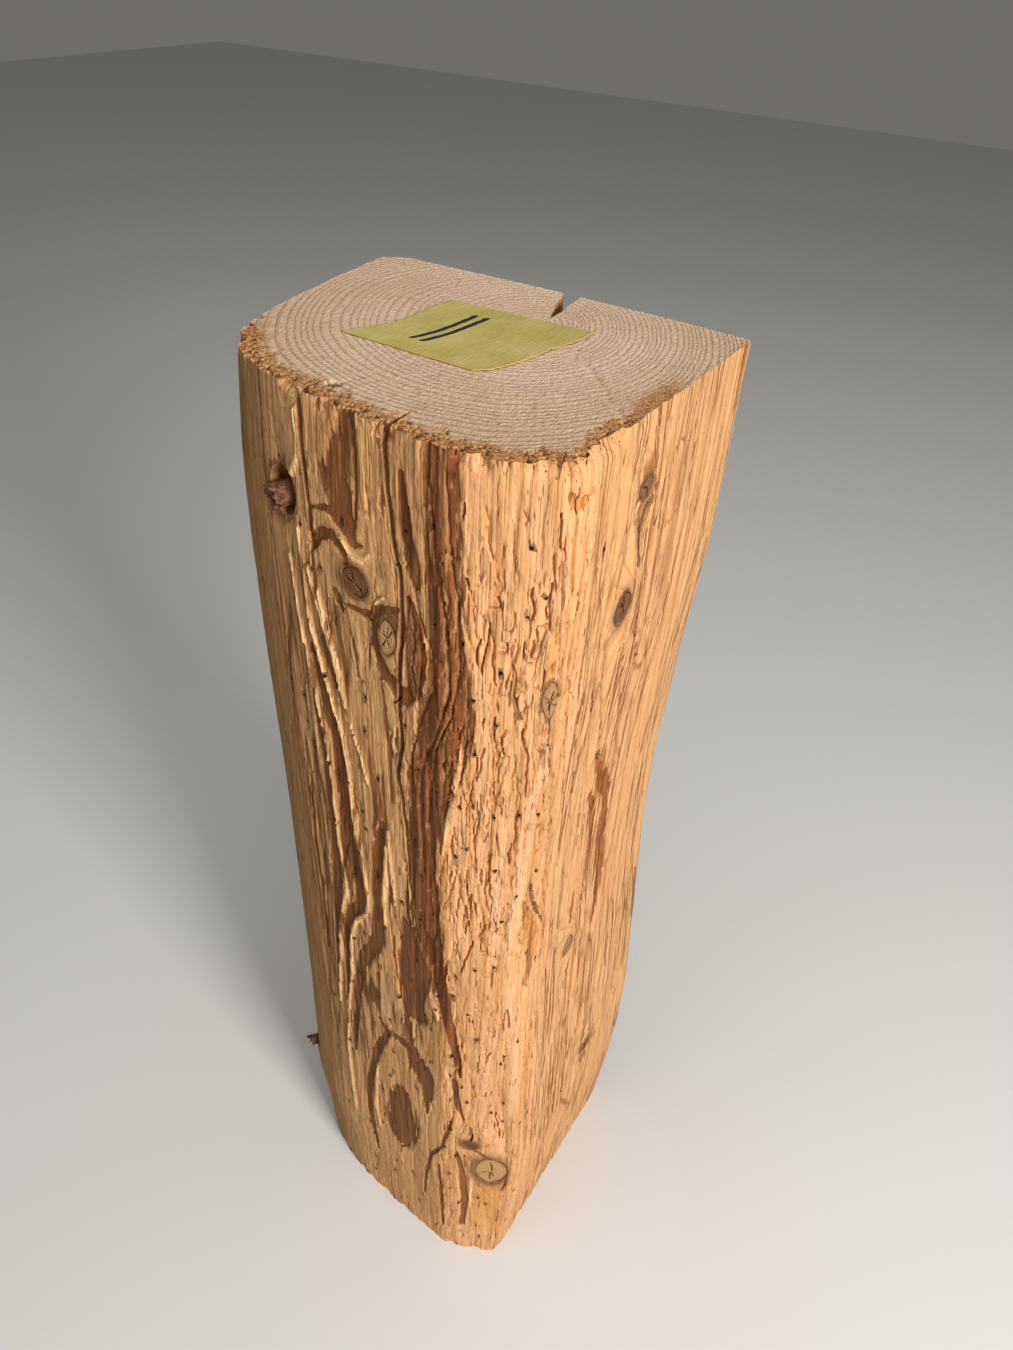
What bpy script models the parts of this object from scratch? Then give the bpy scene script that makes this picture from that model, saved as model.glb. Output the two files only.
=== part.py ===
"""Offcut of an old timber post, standing on its sawn end.

A log was sawn flat on its right and back faces and trimmed on its left, which left a
round, waney front. Drying opened a heart check through the back face and long cracks in
the front. The roots of its branches sit in the wood as knots: each dead one is a cone of
branch wood that points at the pith and isn't grown to the wood round it. Two branches
are broken off outside the wood. A strip of paper tape is stuck on the top end.

Metres, +Z up. The origin is in the middle of the base, +Y points at the sawn back face.
"""

from math import atan2, cos, degrees, exp, hypot, pi, radians, sin

import bmesh
import bpy
from mathutils import Vector

# ---------------------------------------------------------------- driving sizes (metres)
POST_HEIGHT = 0.490
PITH = Vector((0.0112, 0.0328))     # where the pith runs, from the middle of the base

# Distance from the pith to each sawn face: direction it faces (degrees), distance, and
# how far its corner with the next face is worn round.
RIGHT_FACE = (-2.9, 0.0620, 0.007)
BACK_FACE_RIGHT_HALF = (85.3, 0.0341, 0.006)
BACK_FACE_LEFT_HALF = (90.0, 0.0335, 0.006)
BACK_LEFT_CHAMFER = (123.4, 0.0705, 0.004)
LEFT_FACE = (185.8, 0.0842, 0.024)

# The log's own round surface: direction from the pith (degrees), distance from it.
LOG_OUTLINE = (
    (-180, 0.0990), (-150, 0.1005), (-137, 0.1004), (-120, 0.0985), (-101, 0.0955),
    (-86, 0.0975), (-75, 0.1025), (-64, 0.1040), (-50, 0.1050), (-20, 0.1040),
    (20, 0.1030), (90, 0.1000), (140, 0.0990),
)
# How the right face and the log's left side wave along the post: height, swell.
RIGHT_WAVE = (
    (0.000, -0.0005), (0.100, 0.0045), (0.190, 0.0005), (0.275, -0.0045),
    (0.350, -0.0035), (0.420, 0.0005), (0.490, 0.0002),
)
LEFT_WAVE = (
    (0.00, 0.0020), (0.04, 0.0035), (0.08, 0.0070), (0.12, 0.0055), (0.20, 0.0040),
    (0.30, 0.0035), (0.40, 0.0040), (0.45, 0.0030), (0.49, 0.0000),
)
LEFT_WAVE_CENTRE = -140.0           # degrees, where the left side swells most
LEFT_WAVE_SPREAD = 35.0             # degrees
LEFT_FACE_SHARE = 0.8               # the flat left face waves this much less

# Heart check: a wedge-shaped split from the back face towards the pith, full height.
HEART_CHECK_WIDTH = 0.0074          # at the back face
HEART_CHECK_LEAN = -0.006           # how far its mouth stands left of the pith
HEART_CHECK_STOP = 0.0060           # solid wood left between its bottom and the pith

# Drying cracks: mouth width, depth, and (direction in degrees, height below the top).
FRONT_CRACK_WIDTH = 0.0011
FRONT_CRACK_DEPTH = 0.014
FRONT_CRACK = (
    (-87.7, 0.000), (-87.3, 0.015), (-86.5, 0.029), (-84.5, 0.048), (-84.6, 0.070),
    (-84.9, 0.093), (-85.3, 0.117), (-86.5, 0.129), (-85.7, 0.146), (-84.7, 0.181),
    (-84.2, 0.215),
)
LEFT_CRACK_WIDTH = 0.0010
LEFT_CRACK_DEPTH = 0.012
LEFT_CRACK = ((-108.3, 0.000), (-107.2, 0.020), (-106.5, 0.035), (-107.4, 0.056))

# Knots: name, direction (degrees), height, half width, half height and depth. A height
# is given from the TOP or from the BASE, so a knot keeps its place if the post's length
# changes.
TOP, BASE = "top", "base"
KNOTS = (
    ("knot_front_split", -94.9, TOP, 0.0538, 0.0056, 0.0056, 0.030),
    ("knot_front_pale", -87.6, TOP, 0.0690, 0.0036, 0.0068, 0.024),
    ("knot_right_upper", -35.0, TOP, 0.0240, 0.0040, 0.0038, 0.026),
    ("knot_right_lower", -38.0, TOP, 0.0644, 0.0048, 0.0062, 0.030),
    ("knot_corner_grey", -57.0, TOP, 0.0766, 0.0026, 0.0082, 0.014),
    ("knot_right_middle", -37.6, BASE, 0.2400, 0.0036, 0.0046, 0.016),
    ("knot_right_base", -15.4, BASE, 0.1270, 0.0038, 0.0036, 0.016),
    ("knot_base_dark", -66.9, BASE, 0.1256, 0.0042, 0.0036, 0.018),
    ("knot_base_round", -60.6, BASE, 0.1010, 0.0085, 0.0125, 0.032),
    ("knot_back_upper", 58.0, TOP, 0.0500, 0.0046, 0.0054, 0.022),
    ("knot_back_lower", 121.0, BASE, 0.1130, 0.0050, 0.0058, 0.024),
    ("knot_left_upper", 171.0, TOP, 0.0620, 0.0050, 0.0060, 0.026),
)
BARK_POCKET = ("bark_pocket", -81.6, TOP, 0.0700, 0.0024, 0.0195, 0.006)
KNOT_TAPER = 0.30                   # share of a knot's width lost at its inner end
KNOT_PROUD = 0.0002                 # its face stands this far out of the wood

# Broken branches: name, direction, height, hollow half width and half height, hollow
# depth, branch radius, how far it stands out of the wood and how deep its root goes.
STUBS = (
    ("branch_stub_upper", -114.6, TOP, 0.0372, 0.0066, 0.0080, 0.0090, 0.0042, 0.0030, 0.034),
    ("branch_stub_lower", -133.0, BASE, 0.0935, 0.0042, 0.0052, 0.0030, 0.0030, 0.0052, 0.026),
)
STUB_BREAK = 0.0016                 # how uneven the broken end is

# Paper tape on the top end, from the middle of the post: its two torn ends, and how
# deep they are notched.
TAPE_RIGHT_END = (
    (0.0149, -0.0173), (0.0196, -0.0125), (0.0240, 0.0016), (0.0256, 0.0120),
    (0.0294, 0.0275), (0.0297, 0.0340),
)
TAPE_LEFT_END = (
    (-0.0234, 0.0327), (-0.0252, 0.0223), (-0.0254, 0.0107), (-0.0279, -0.0010),
    (-0.0347, -0.0147),
)
TAPE_THICKNESS = 0.0004
TAPE_NOTCH = 0.0005

CLEARANCE = 0.0003                  # gap between a piece and what holds it
REACH = 0.003                       # how far a cutter stands out of the wood

OUTLINE_POINTS = 96
LEVELS = 15
KNOT_SIDES = 20
STUB_SIDES = 16

WOOD = ((0.56, 0.35, 0.17), 0.75, 0.0)
KNOT_WOOD = ((0.25, 0.14, 0.08), 0.65, 0.0)
BARK = ((0.22, 0.08, 0.04), 0.60, 0.0)
BRANCH_WOOD = ((0.36, 0.19, 0.12), 0.80, 0.0)
PAPER_TAPE = ((0.50, 0.47, 0.10), 0.60, 0.0)


# ---------------------------------------------------------------- the post's outer shape
def smooth_curve(points, x, period=None):
    """Read a smooth curve through (place, value) points, wrapped round if it has a period."""
    if period:
        first = (points[-1][0] - period, points[-1][1])
        points = (first,) + tuple(points) + ((points[0][0] + period, points[0][1]),)
    last = len(points) - 1
    x = min(max(x, points[0][0]), points[last][0])
    i = max(k for k in range(last) if points[k][0] <= x)

    def slope(k):
        a, b = points[max(k - 1, 0)], points[min(k + 1, last)]
        return (b[1] - a[1]) / (b[0] - a[0])

    span = points[i + 1][0] - points[i][0]
    u = (x - points[i][0]) / span
    return ((2 * u**3 - 3 * u**2 + 1) * points[i][1] + (u**3 - 2 * u**2 + u) * span * slope(i)
            + (3 * u**2 - 2 * u**3) * points[i + 1][1] + (u**3 - u**2) * span * slope(i + 1))


def wrap(angle):
    """Bring an angle in degrees to -180..180."""
    return (angle + 180) % 360 - 180


def blend_smaller(a, b, width):
    """The smaller of two distances, with their meeting rounded over a width."""
    overlap = max(width - abs(a - b), 0) / width
    return min(a, b) - overlap**3 * width / 6


def surface_distance(angle, height):
    """Distance from the pith to the post's surface."""
    side = wrap(angle - LEFT_WAVE_CENTRE) / LEFT_WAVE_SPREAD
    left_wave = smooth_curve(LEFT_WAVE, height)
    distance = smooth_curve(LOG_OUTLINE, wrap(angle), 360) + left_wave * exp(-side**2)
    faces = (
        (LEFT_FACE, left_wave * LEFT_FACE_SHARE),
        (RIGHT_FACE, smooth_curve(RIGHT_WAVE, height)),
        (BACK_FACE_RIGHT_HALF, 0.0),
        (BACK_FACE_LEFT_HALF, 0.0),
        (BACK_LEFT_CHAMFER, 0.0),
    )
    for (facing, offset, corner), wave in faces:
        towards = cos(radians(angle - facing))
        if towards > 0.05:
            distance = blend_smaller(distance, (offset + wave) / towards, corner)
    return distance


def from_pith(angle, distance, height):
    """A point at a direction and distance from the pith."""
    a = radians(angle)
    return Vector((PITH.x + distance * cos(a), PITH.y + distance * sin(a), height))


def place_height(anchor, height):
    """Turn a height given from the top or the base into a height above the base."""
    return POST_HEIGHT - height if anchor == TOP else height


# ---------------------------------------------------------------- helpers
def material(name, finish):
    colour, roughness, metallic = finish
    mat = bpy.data.materials.get(name) or bpy.data.materials.new(name)
    mat.use_nodes = True
    shader = mat.node_tree.nodes["Principled BSDF"]
    shader.inputs["Base Color"].default_value = (*colour, 1.0)
    shader.inputs["Roughness"].default_value = roughness
    shader.inputs["Metallic"].default_value = metallic
    return mat


def add_object(name, bm, finish=None):
    """Put a bmesh in the scene with its faces turned outwards. No finish: a cutter."""
    bmesh.ops.recalc_face_normals(bm, faces=bm.faces[:])
    mesh = bpy.data.meshes.new(name)
    bm.to_mesh(mesh)
    bm.free()
    obj = bpy.data.objects.new(name, mesh)
    bpy.context.scene.collection.objects.link(obj)
    if finish:
        mesh.materials.append(material(name + "_finish", finish))
    else:
        obj.hide_render = True
        obj.display_type = "WIRE"
    return obj


def loft(rings, start_centre=None, end_centre=None):
    """Skin a stack of closed rings and close both ends, to a centre point if one is given."""
    bm = bmesh.new()
    rows = [[bm.verts.new(p) for p in ring] for ring in rings]
    count = len(rows[0])
    for low, high in zip(rows, rows[1:]):
        for i in range(count):
            j = (i + 1) % count
            bm.faces.new((low[i], low[j], high[j], high[i]))
    for row, centre in ((rows[0], start_centre), (rows[-1], end_centre)):
        if centre is None:
            bm.faces.new(row)
            continue
        middle = bm.verts.new(centre)
        for i in range(count):
            bm.faces.new((row[i], row[(i + 1) % count], middle))
    return bm


def cut(target, cutter):
    """Take a cutter's shape out of a piece."""
    boolean = target.modifiers.new(cutter.name, "BOOLEAN")
    boolean.operation = "DIFFERENCE"
    boolean.solver = "EXACT"
    boolean.object = cutter


# ---------------------------------------------------------------- timber and its splits
def timber_body():
    rings = []
    for level in range(LEVELS):
        height = POST_HEIGHT * level / (LEVELS - 1)
        ring = []
        for i in range(OUTLINE_POINTS):
            angle = 360 * i / OUTLINE_POINTS - 180
            ring.append(from_pith(angle, surface_distance(angle, height), height))
        rings.append(ring)
    return add_object("timber", loft(rings), WOOD)


def heart_check_cutter():
    """Wedge with its edge just behind the pith and its mouth in the back face."""
    back = BACK_FACE_LEFT_HALF[1]
    spread = (back - HEART_CHECK_STOP + REACH) / (back - HEART_CHECK_STOP)
    rings = []
    for height in (-REACH, POST_HEIGHT + REACH):
        ring = [Vector((PITH.x, PITH.y + HEART_CHECK_STOP, height))]
        for side in (1, -1):
            mouth = HEART_CHECK_LEAN + side * HEART_CHECK_WIDTH / 2
            ring.append(Vector((PITH.x + mouth * spread, PITH.y + back + REACH, height)))
        rings.append(ring)
    return add_object("heart_check_cutter", loft(rings))


def crack_cutter(name, path, width, depth):
    """Thin wedge that follows a crack down from the top end and runs out at its foot."""
    rings = []
    for step, (angle, drop) in enumerate(path):
        run_out = 1 - 0.75 * step / (len(path) - 1)
        height = POST_HEIGHT - drop + (REACH if step == 0 else 0)
        surface = surface_distance(angle, min(height, POST_HEIGHT))
        mouth = degrees(width * run_out / 2 / surface)
        rings.append([
            from_pith(angle - mouth, surface + REACH, height),
            from_pith(angle + mouth, surface + REACH, height),
            from_pith(angle, surface - depth * run_out, height),
        ])
    return add_object(name, loft(rings))


# ---------------------------------------------------------------- knots and branch stubs
def cone_ring(angle, height, half_width, half_height, sides, out=None, distance=None):
    """Ring of a branch cone: on the surface moved by `out`, or at a distance from the pith."""
    axis = Vector((cos(radians(angle)), sin(radians(angle))))
    across = Vector((-axis.y, axis.x))
    ring = []
    for i in range(sides):
        turn = 2 * pi * i / sides
        side, rise = half_width * cos(turn), half_height * sin(turn)
        run = distance if out is None else surface_distance(angle, height)
        if out is not None:
            for _ in range(4):
                at = axis * run + across * side
                here = degrees(atan2(at.y, at.x))
                run += surface_distance(here, height + rise) + out - hypot(at.x, at.y)
        at = PITH + axis * run + across * side
        ring.append(Vector((at.x, at.y, height + rise)))
    return ring


def knot_cone(name, angle, height, half_width, half_height, depth, out, grow, finish=None):
    """A knot, or with `grow` the pocket that it sits in: the same taper, wider all round."""
    surface = surface_distance(angle, height)
    inner = surface - depth - grow
    wider = grow * hypot(1, half_width * KNOT_TAPER / depth)
    taller = grow * hypot(1, half_height * KNOT_TAPER / depth)
    rings = []
    for distance in (-depth - grow, out):
        share = 1 + KNOT_TAPER * distance / depth
        size = (half_width * share + wider, half_height * share + taller, KNOT_SIDES)
        if distance < 0:
            rings.append(cone_ring(angle, height, *size, distance=inner))
        else:
            rings.append(cone_ring(angle, height, *size, out=out))
    bm = loft(rings, from_pith(angle, inner, height), from_pith(angle, surface + out, height))
    return add_object(name, bm, finish)


def set_knot(timber, spec, finish):
    """Make a knot and the pocket that holds it."""
    name, angle, anchor, rise, half_width, half_height, depth = spec
    size = (angle, place_height(anchor, rise), half_width, half_height, depth)
    knot_cone(name, *size, KNOT_PROUD, 0.0, finish)
    cut(timber, knot_cone(name + "_pocket", *size, REACH, CLEARANCE))


def set_stub(timber, spec):
    """Make a broken branch, the hollow round it and the socket of its root."""
    name, angle, anchor, rise, wide, tall, hollow, radius, proud, root = spec
    height = place_height(anchor, rise)
    surface = surface_distance(angle, height)
    floor, tip = surface - hollow, surface - root
    small = radius * (1 - KNOT_TAPER)

    socket = [
        cone_ring(angle, height, small + CLEARANCE, small + CLEARANCE, STUB_SIDES,
                  distance=tip - CLEARANCE),
        cone_ring(angle, height, radius + CLEARANCE, radius + CLEARANCE, STUB_SIDES,
                  distance=floor),
        cone_ring(angle, height, wide, tall, STUB_SIDES, out=0.0),
        cone_ring(angle, height, wide, tall, STUB_SIDES, out=REACH),
    ]
    cut(timber, add_object(name + "_socket", loft(socket)))

    broken = []
    for i, point in enumerate(cone_ring(angle, height, radius * 0.85, radius * 0.85,
                                        STUB_SIDES, distance=surface + proud)):
        turn = 2 * pi * i / STUB_SIDES
        jag = STUB_BREAK * (cos(turn + 1) + 0.5 * cos(3 * turn))
        outwards = from_pith(angle, jag, 0) - from_pith(angle, 0, 0)
        broken.append(point + outwards)
    branch = [
        cone_ring(angle, height, small, small, STUB_SIDES, distance=tip),
        cone_ring(angle, height, radius, radius, STUB_SIDES, distance=floor),
        broken,
    ]
    end = from_pith(angle, surface + proud - STUB_BREAK, height)
    add_object(name, loft(branch, end_centre=end), BRANCH_WOOD)


# ---------------------------------------------------------------- tape label
def torn_end(points):
    """The points of a torn end, with a notched point between each two."""
    outline = []
    for start, end in zip(points, points[1:]):
        start, end = Vector(start), Vector(end)
        run = end - start
        inwards = Vector((-run.y, run.x)).normalized()
        outline += [start, start + run * 0.5 + inwards * TAPE_NOTCH]
    return outline + [Vector(points[-1])]


def tape_label():
    outline = torn_end(TAPE_RIGHT_END) + torn_end(TAPE_LEFT_END)
    bottom = POST_HEIGHT + CLEARANCE
    rings = [[Vector((p.x, p.y, z)) for p in outline] for z in (bottom, bottom + TAPE_THICKNESS)]
    add_object("tape_label", loft(rings), PAPER_TAPE)


# ---------------------------------------------------------------- the whole part
def main():
    for obj in list(bpy.data.objects):
        bpy.data.objects.remove(obj, do_unlink=True)

    timber = timber_body()
    cut(timber, heart_check_cutter())
    cut(timber, crack_cutter("front_crack_cutter", FRONT_CRACK, FRONT_CRACK_WIDTH,
                             FRONT_CRACK_DEPTH))
    cut(timber, crack_cutter("left_crack_cutter", LEFT_CRACK, LEFT_CRACK_WIDTH,
                             LEFT_CRACK_DEPTH))
    for knot in KNOTS:
        set_knot(timber, knot, KNOT_WOOD)
    set_knot(timber, BARK_POCKET, BARK)
    for stub in STUBS:
        set_stub(timber, stub)
    tape_label()


main()
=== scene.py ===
"""Offcut of an old timber post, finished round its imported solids.

Metres, +Z up along the grain, +Y out of the sawn back face. A place on the post's skin is
given as a station: its run, in millimetres along the skin from the direction -165 degrees
round the front to the right, and its height, in millimetres above the base.
"""
import logging
import math
from collections.abc import Callable
from dataclasses import dataclass, field
from enum import Enum, StrEnum

import bmesh
import bpy
import numpy as np
from bpy.types import Material, Mesh, Node, NodeSocket, Object
from mathutils import Matrix, Vector


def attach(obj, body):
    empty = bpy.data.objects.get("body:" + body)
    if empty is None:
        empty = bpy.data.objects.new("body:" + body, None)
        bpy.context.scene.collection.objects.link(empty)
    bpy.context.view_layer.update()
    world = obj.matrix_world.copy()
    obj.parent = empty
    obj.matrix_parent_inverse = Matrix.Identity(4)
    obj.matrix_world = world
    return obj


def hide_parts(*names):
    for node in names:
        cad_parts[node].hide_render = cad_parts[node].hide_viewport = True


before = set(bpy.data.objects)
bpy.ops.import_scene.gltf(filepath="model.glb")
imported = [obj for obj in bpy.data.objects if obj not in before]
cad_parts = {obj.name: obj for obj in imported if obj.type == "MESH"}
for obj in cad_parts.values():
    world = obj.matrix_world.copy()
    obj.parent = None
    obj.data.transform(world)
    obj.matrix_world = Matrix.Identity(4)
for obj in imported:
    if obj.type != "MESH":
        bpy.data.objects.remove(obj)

LOG = logging.getLogger("post")
BODY = "root"
MM = 0.001
RUN_START = -165.0                  # degrees, where a station's run is 0
SIDE, END, TORN, BORE = 0, 1, 2, 3  # the timber's material places

Station = tuple[float, float]
Colour = tuple[float, float, float]


# ======================================================================= shape of the post
@dataclass(frozen=True)
class Plane:
    """A sawn face: the direction it faces, its distance from the pith and its corner."""

    facing: float
    distance: float
    corner: float


@dataclass(frozen=True)
class Section:
    """The post's cross-section, as distances from the pith."""

    pith: tuple[float, float] = (0.0112, 0.0328)
    height: float = 0.490
    right: Plane = Plane(-2.9, 0.0620, 0.007)
    left: Plane = Plane(185.8, 0.0842, 0.024)
    others: tuple[Plane, ...] = (
        Plane(85.3, 0.0341, 0.006),
        Plane(90.0, 0.0335, 0.006),
        Plane(123.4, 0.0705, 0.004),
    )
    log_outline: tuple[Station, ...] = (
        (-180, 0.0990), (-150, 0.1005), (-137, 0.1004), (-120, 0.0985), (-101, 0.0955),
        (-86, 0.0975), (-75, 0.1025), (-64, 0.1040), (-50, 0.1050), (-20, 0.1040),
        (20, 0.1030), (90, 0.1000), (140, 0.0990),
    )
    right_wave: tuple[Station, ...] = (
        (0.000, -0.0005), (0.100, 0.0045), (0.190, 0.0005), (0.275, -0.0045),
        (0.350, -0.0035), (0.420, 0.0005), (0.490, 0.0002),
    )
    left_wave: tuple[Station, ...] = (
        (0.00, 0.0020), (0.04, 0.0035), (0.08, 0.0070), (0.12, 0.0055), (0.20, 0.0040),
        (0.30, 0.0035), (0.40, 0.0040), (0.45, 0.0030), (0.49, 0.0000),
    )
    left_wave_centre: float = -140.0
    left_wave_spread: float = 35.0
    left_face_share: float = 0.8

    def distance(self, angle: np.ndarray, height: np.ndarray) -> np.ndarray:
        """Distance from the pith to the sawn or grown surface.

        Args:
            angle: Directions from the pith, in degrees.
            height: Heights above the base, in metres.

        Returns:
            The distances, in metres.
        """
        angle, height = np.broadcast_arrays(np.asarray(angle, float), np.asarray(height, float))
        around = wrap(angle)
        left_wave = smooth_curve(self.left_wave, height)
        side = wrap(angle - self.left_wave_centre) / self.left_wave_spread
        reach = smooth_curve(self.log_outline, around, 360.0) + left_wave * np.exp(-side**2)
        faces = [(self.left, left_wave * self.left_face_share),
                 (self.right, smooth_curve(self.right_wave, height))]
        faces += [(plane, 0.0) for plane in self.others]
        for plane, wave in faces:
            towards = np.cos(np.radians(angle - plane.facing))
            flat = np.where(towards > 0.05, (plane.distance + wave) / np.maximum(towards, 0.05), 9)
            overlap = np.clip(plane.corner - np.abs(reach - flat), 0, None) / plane.corner
            reach = np.minimum(reach, flat) - overlap**3 * plane.corner / 6
        return reach

    def point(self, angle: np.ndarray, height: np.ndarray, sink: float = 0.0) -> np.ndarray:
        """Points at directions and heights, on the surface or sunk towards the pith.

        Args:
            angle: Directions from the pith, in degrees.
            height: Heights above the base, in metres.
            sink: How far inside the surface the points lie, in metres.

        Returns:
            An array of x, y, z.
        """
        reach = self.distance(angle, height) - sink
        a = np.radians(angle)
        return np.stack(np.broadcast_arrays(self.pith[0] + reach * np.cos(a),
                                            self.pith[1] + reach * np.sin(a),
                                            np.asarray(height, float)), -1)


def wrap(angle: np.ndarray) -> np.ndarray:
    """Angles in degrees, brought to -180..180."""
    return (np.asarray(angle, float) + 180) % 360 - 180


def smooth_curve(points: tuple[Station, ...], x: np.ndarray, period: float = 0.0) -> np.ndarray:
    """Values of a smooth curve through (place, value) points.

    Args:
        points: The points, in order of place.
        x: The places to read the curve at.
        period: The distance after which the curve repeats, or 0.

    Returns:
        The curve's value at each place.
    """
    place, value = np.array(points, float).T
    if period:
        place = np.concatenate([[place[-1] - period], place, [place[0] + period]])
        value = np.concatenate([[value[-1]], value, [value[0]]])
    before = np.maximum(np.arange(len(place)) - 1, 0)
    after = np.minimum(np.arange(len(place)) + 1, len(place) - 1)
    slope = (value[after] - value[before]) / (place[after] - place[before])
    x = np.clip(x, place[0], place[-1])
    i = np.clip(np.searchsorted(place, x, side="right") - 1, 0, len(place) - 2)
    span = place[i + 1] - place[i]
    u = (x - place[i]) / span
    return ((2 * u**3 - 3 * u**2 + 1) * value[i] + (u**3 - 2 * u**2 + u) * span * slope[i]
            + (3 * u**2 - 2 * u**3) * value[i + 1] + (u**3 - u**2) * span * slope[i + 1])


class Skin:
    """The post's skin laid out flat: run along it and height up it, both in millimetres."""

    def __init__(self, section: Section) -> None:
        """Measure the way round the post at half its height."""
        self.section = section
        fine = np.linspace(RUN_START, RUN_START + 360, 7201)
        ring = section.point(fine, section.height / 2)[:, :2]
        steps = np.linalg.norm(np.diff(ring, axis=0), axis=1)
        self._angle = fine
        self._run = np.concatenate([[0], np.cumsum(steps)]) / MM
        self.girth = float(self._run[-1])

    def angle(self, run: np.ndarray) -> np.ndarray:
        """Direction from the pith, in degrees, of each run."""
        return np.interp(np.asarray(run, float) % self.girth, self._run, self._angle)

    def run(self, angle: np.ndarray) -> np.ndarray:
        """Run, in millimetres, of each direction from the pith."""
        turned = (np.asarray(angle, float) - RUN_START) % 360 + RUN_START
        return np.interp(turned, self._angle, self._run)

    def point(self, station: Station, sink: float = 0.0) -> Vector:
        """The point of a station, sunk a distance in metres towards the pith."""
        return Vector(self.section.point(self.angle(station[0]), station[1] * MM, sink))

    def outwards(self, station: Station) -> Vector:
        """The direction straight out of the surface at a station."""
        run, high = station
        along = self.point((run + 1.5, high)) - self.point((run - 1.5, high))
        up = self.point((run, high + 3)) - self.point((run, high - 3))
        return along.cross(up).normalized()

    def noise(self, run: np.ndarray, high: np.ndarray, cell: Station, seed: int) -> np.ndarray:
        """Smooth random values about -1..1 that close up round the post.

        Args:
            run: Runs in millimetres.
            high: Heights in millimetres.
            cell: Size of a lump along the run and up the post, in millimetres.
            seed: Picks the pattern.

        Returns:
            The value at each place.
        """
        around = max(3, round(self.girth / cell[0]))
        u, v = run / self.girth * around, high / cell[1] + 3.0
        rows = int(np.max(v)) + 3
        turn = np.random.default_rng(seed).random((around, rows)) * 2 * np.pi
        gx, gy = np.cos(turn), np.sin(turn)
        iu, iv = np.floor(u).astype(int), np.floor(v).astype(int)
        fu, fv = u - iu, v - iv
        su, sv = (fu**3 * (fu * (fu * 6 - 15) + 10)), (fv**3 * (fv * (fv * 6 - 15) + 10))

        def corner(du: int, dv: int) -> np.ndarray:
            """One lattice corner's share."""
            i, j = (iu + du) % around, np.clip(iv + dv, 0, rows - 1)
            return gx[i, j] * (fu - du) + gy[i, j] * (fv - dv)

        low = corner(0, 0) * (1 - su) + corner(1, 0) * su
        high_row = corner(0, 1) * (1 - su) + corner(1, 1) * su
        return (low * (1 - sv) + high_row * sv) * 1.5

    def radial_frame(self, facing: float, height: float) -> tuple[np.ndarray, ...]:
        """Point on the skin, radial direction and sideways direction of a knot or branch."""
        turn = math.radians(facing)
        axis = np.array([math.cos(turn), math.sin(turn), 0.0])
        side = np.array([-math.sin(turn), math.cos(turn), 0.0])
        return self.section.point(facing, height), axis, side


@dataclass(frozen=True)
class Stroke:
    """A mark on the skin that follows a line: stations and its half width at each (mm)."""

    path: tuple[Station, ...]
    half: tuple[float, ...]

    def field(self, runs: np.ndarray, highs: np.ndarray) -> np.ndarray:
        """How far inside the stroke each crossing of a grid is.

        Args:
            runs: The grid's runs, in order.
            highs: The grid's heights, in order.

        Returns:
            1 on the stroke's line, 0 on its edge and less outside, no lower than -3.
        """
        inside = np.full((len(runs), len(highs)), -3.0)
        halves = self.half if len(self.half) > 1 else self.half * len(self.path)
        for k in range(len(self.path) - 1):
            (r0, h0), (r1, h1) = self.path[k], self.path[k + 1]
            w0, w1 = halves[k], halves[k + 1]
            reach = 4 * max(w0, w1)
            across = slice(*np.searchsorted(runs, (min(r0, r1) - reach, max(r0, r1) + reach)))
            up = slice(*np.searchsorted(highs, (min(h0, h1) - reach, max(h0, h1) + reach)))
            r, h = runs[across, None], highs[None, up]
            length = (r1 - r0) ** 2 + (h1 - h0) ** 2
            share = np.clip(((r - r0) * (r1 - r0) + (h - h0) * (h1 - h0)) / length, 0, 1)
            gap = np.hypot(r - r0 - share * (r1 - r0), h - h0 - share * (h1 - h0))
            here = 1 - gap / (w0 + share * (w1 - w0))
            inside[across, up] = np.maximum(inside[across, up], here)
        return inside


def joined_field(strokes: tuple[Stroke, ...], runs: np.ndarray, highs: np.ndarray) -> np.ndarray:
    """The strokes' fields taken together: the largest at each place."""
    return np.maximum.reduce([stroke.field(runs, highs) for stroke in strokes])


def smooth_step(low: float, high: float, x: np.ndarray) -> np.ndarray:
    """0 below low, 1 above high, and a smooth rise between."""
    t = np.clip((x - low) / (high - low), 0, 1)
    return t * t * (3 - 2 * t)


def between(low: float, risen: float, falling: float, high: float, x: np.ndarray) -> np.ndarray:
    """0 below low and above high, 1 from risen to falling, and smooth between."""
    return smooth_step(low, risen, x) * (1 - smooth_step(falling, high, x))


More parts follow.
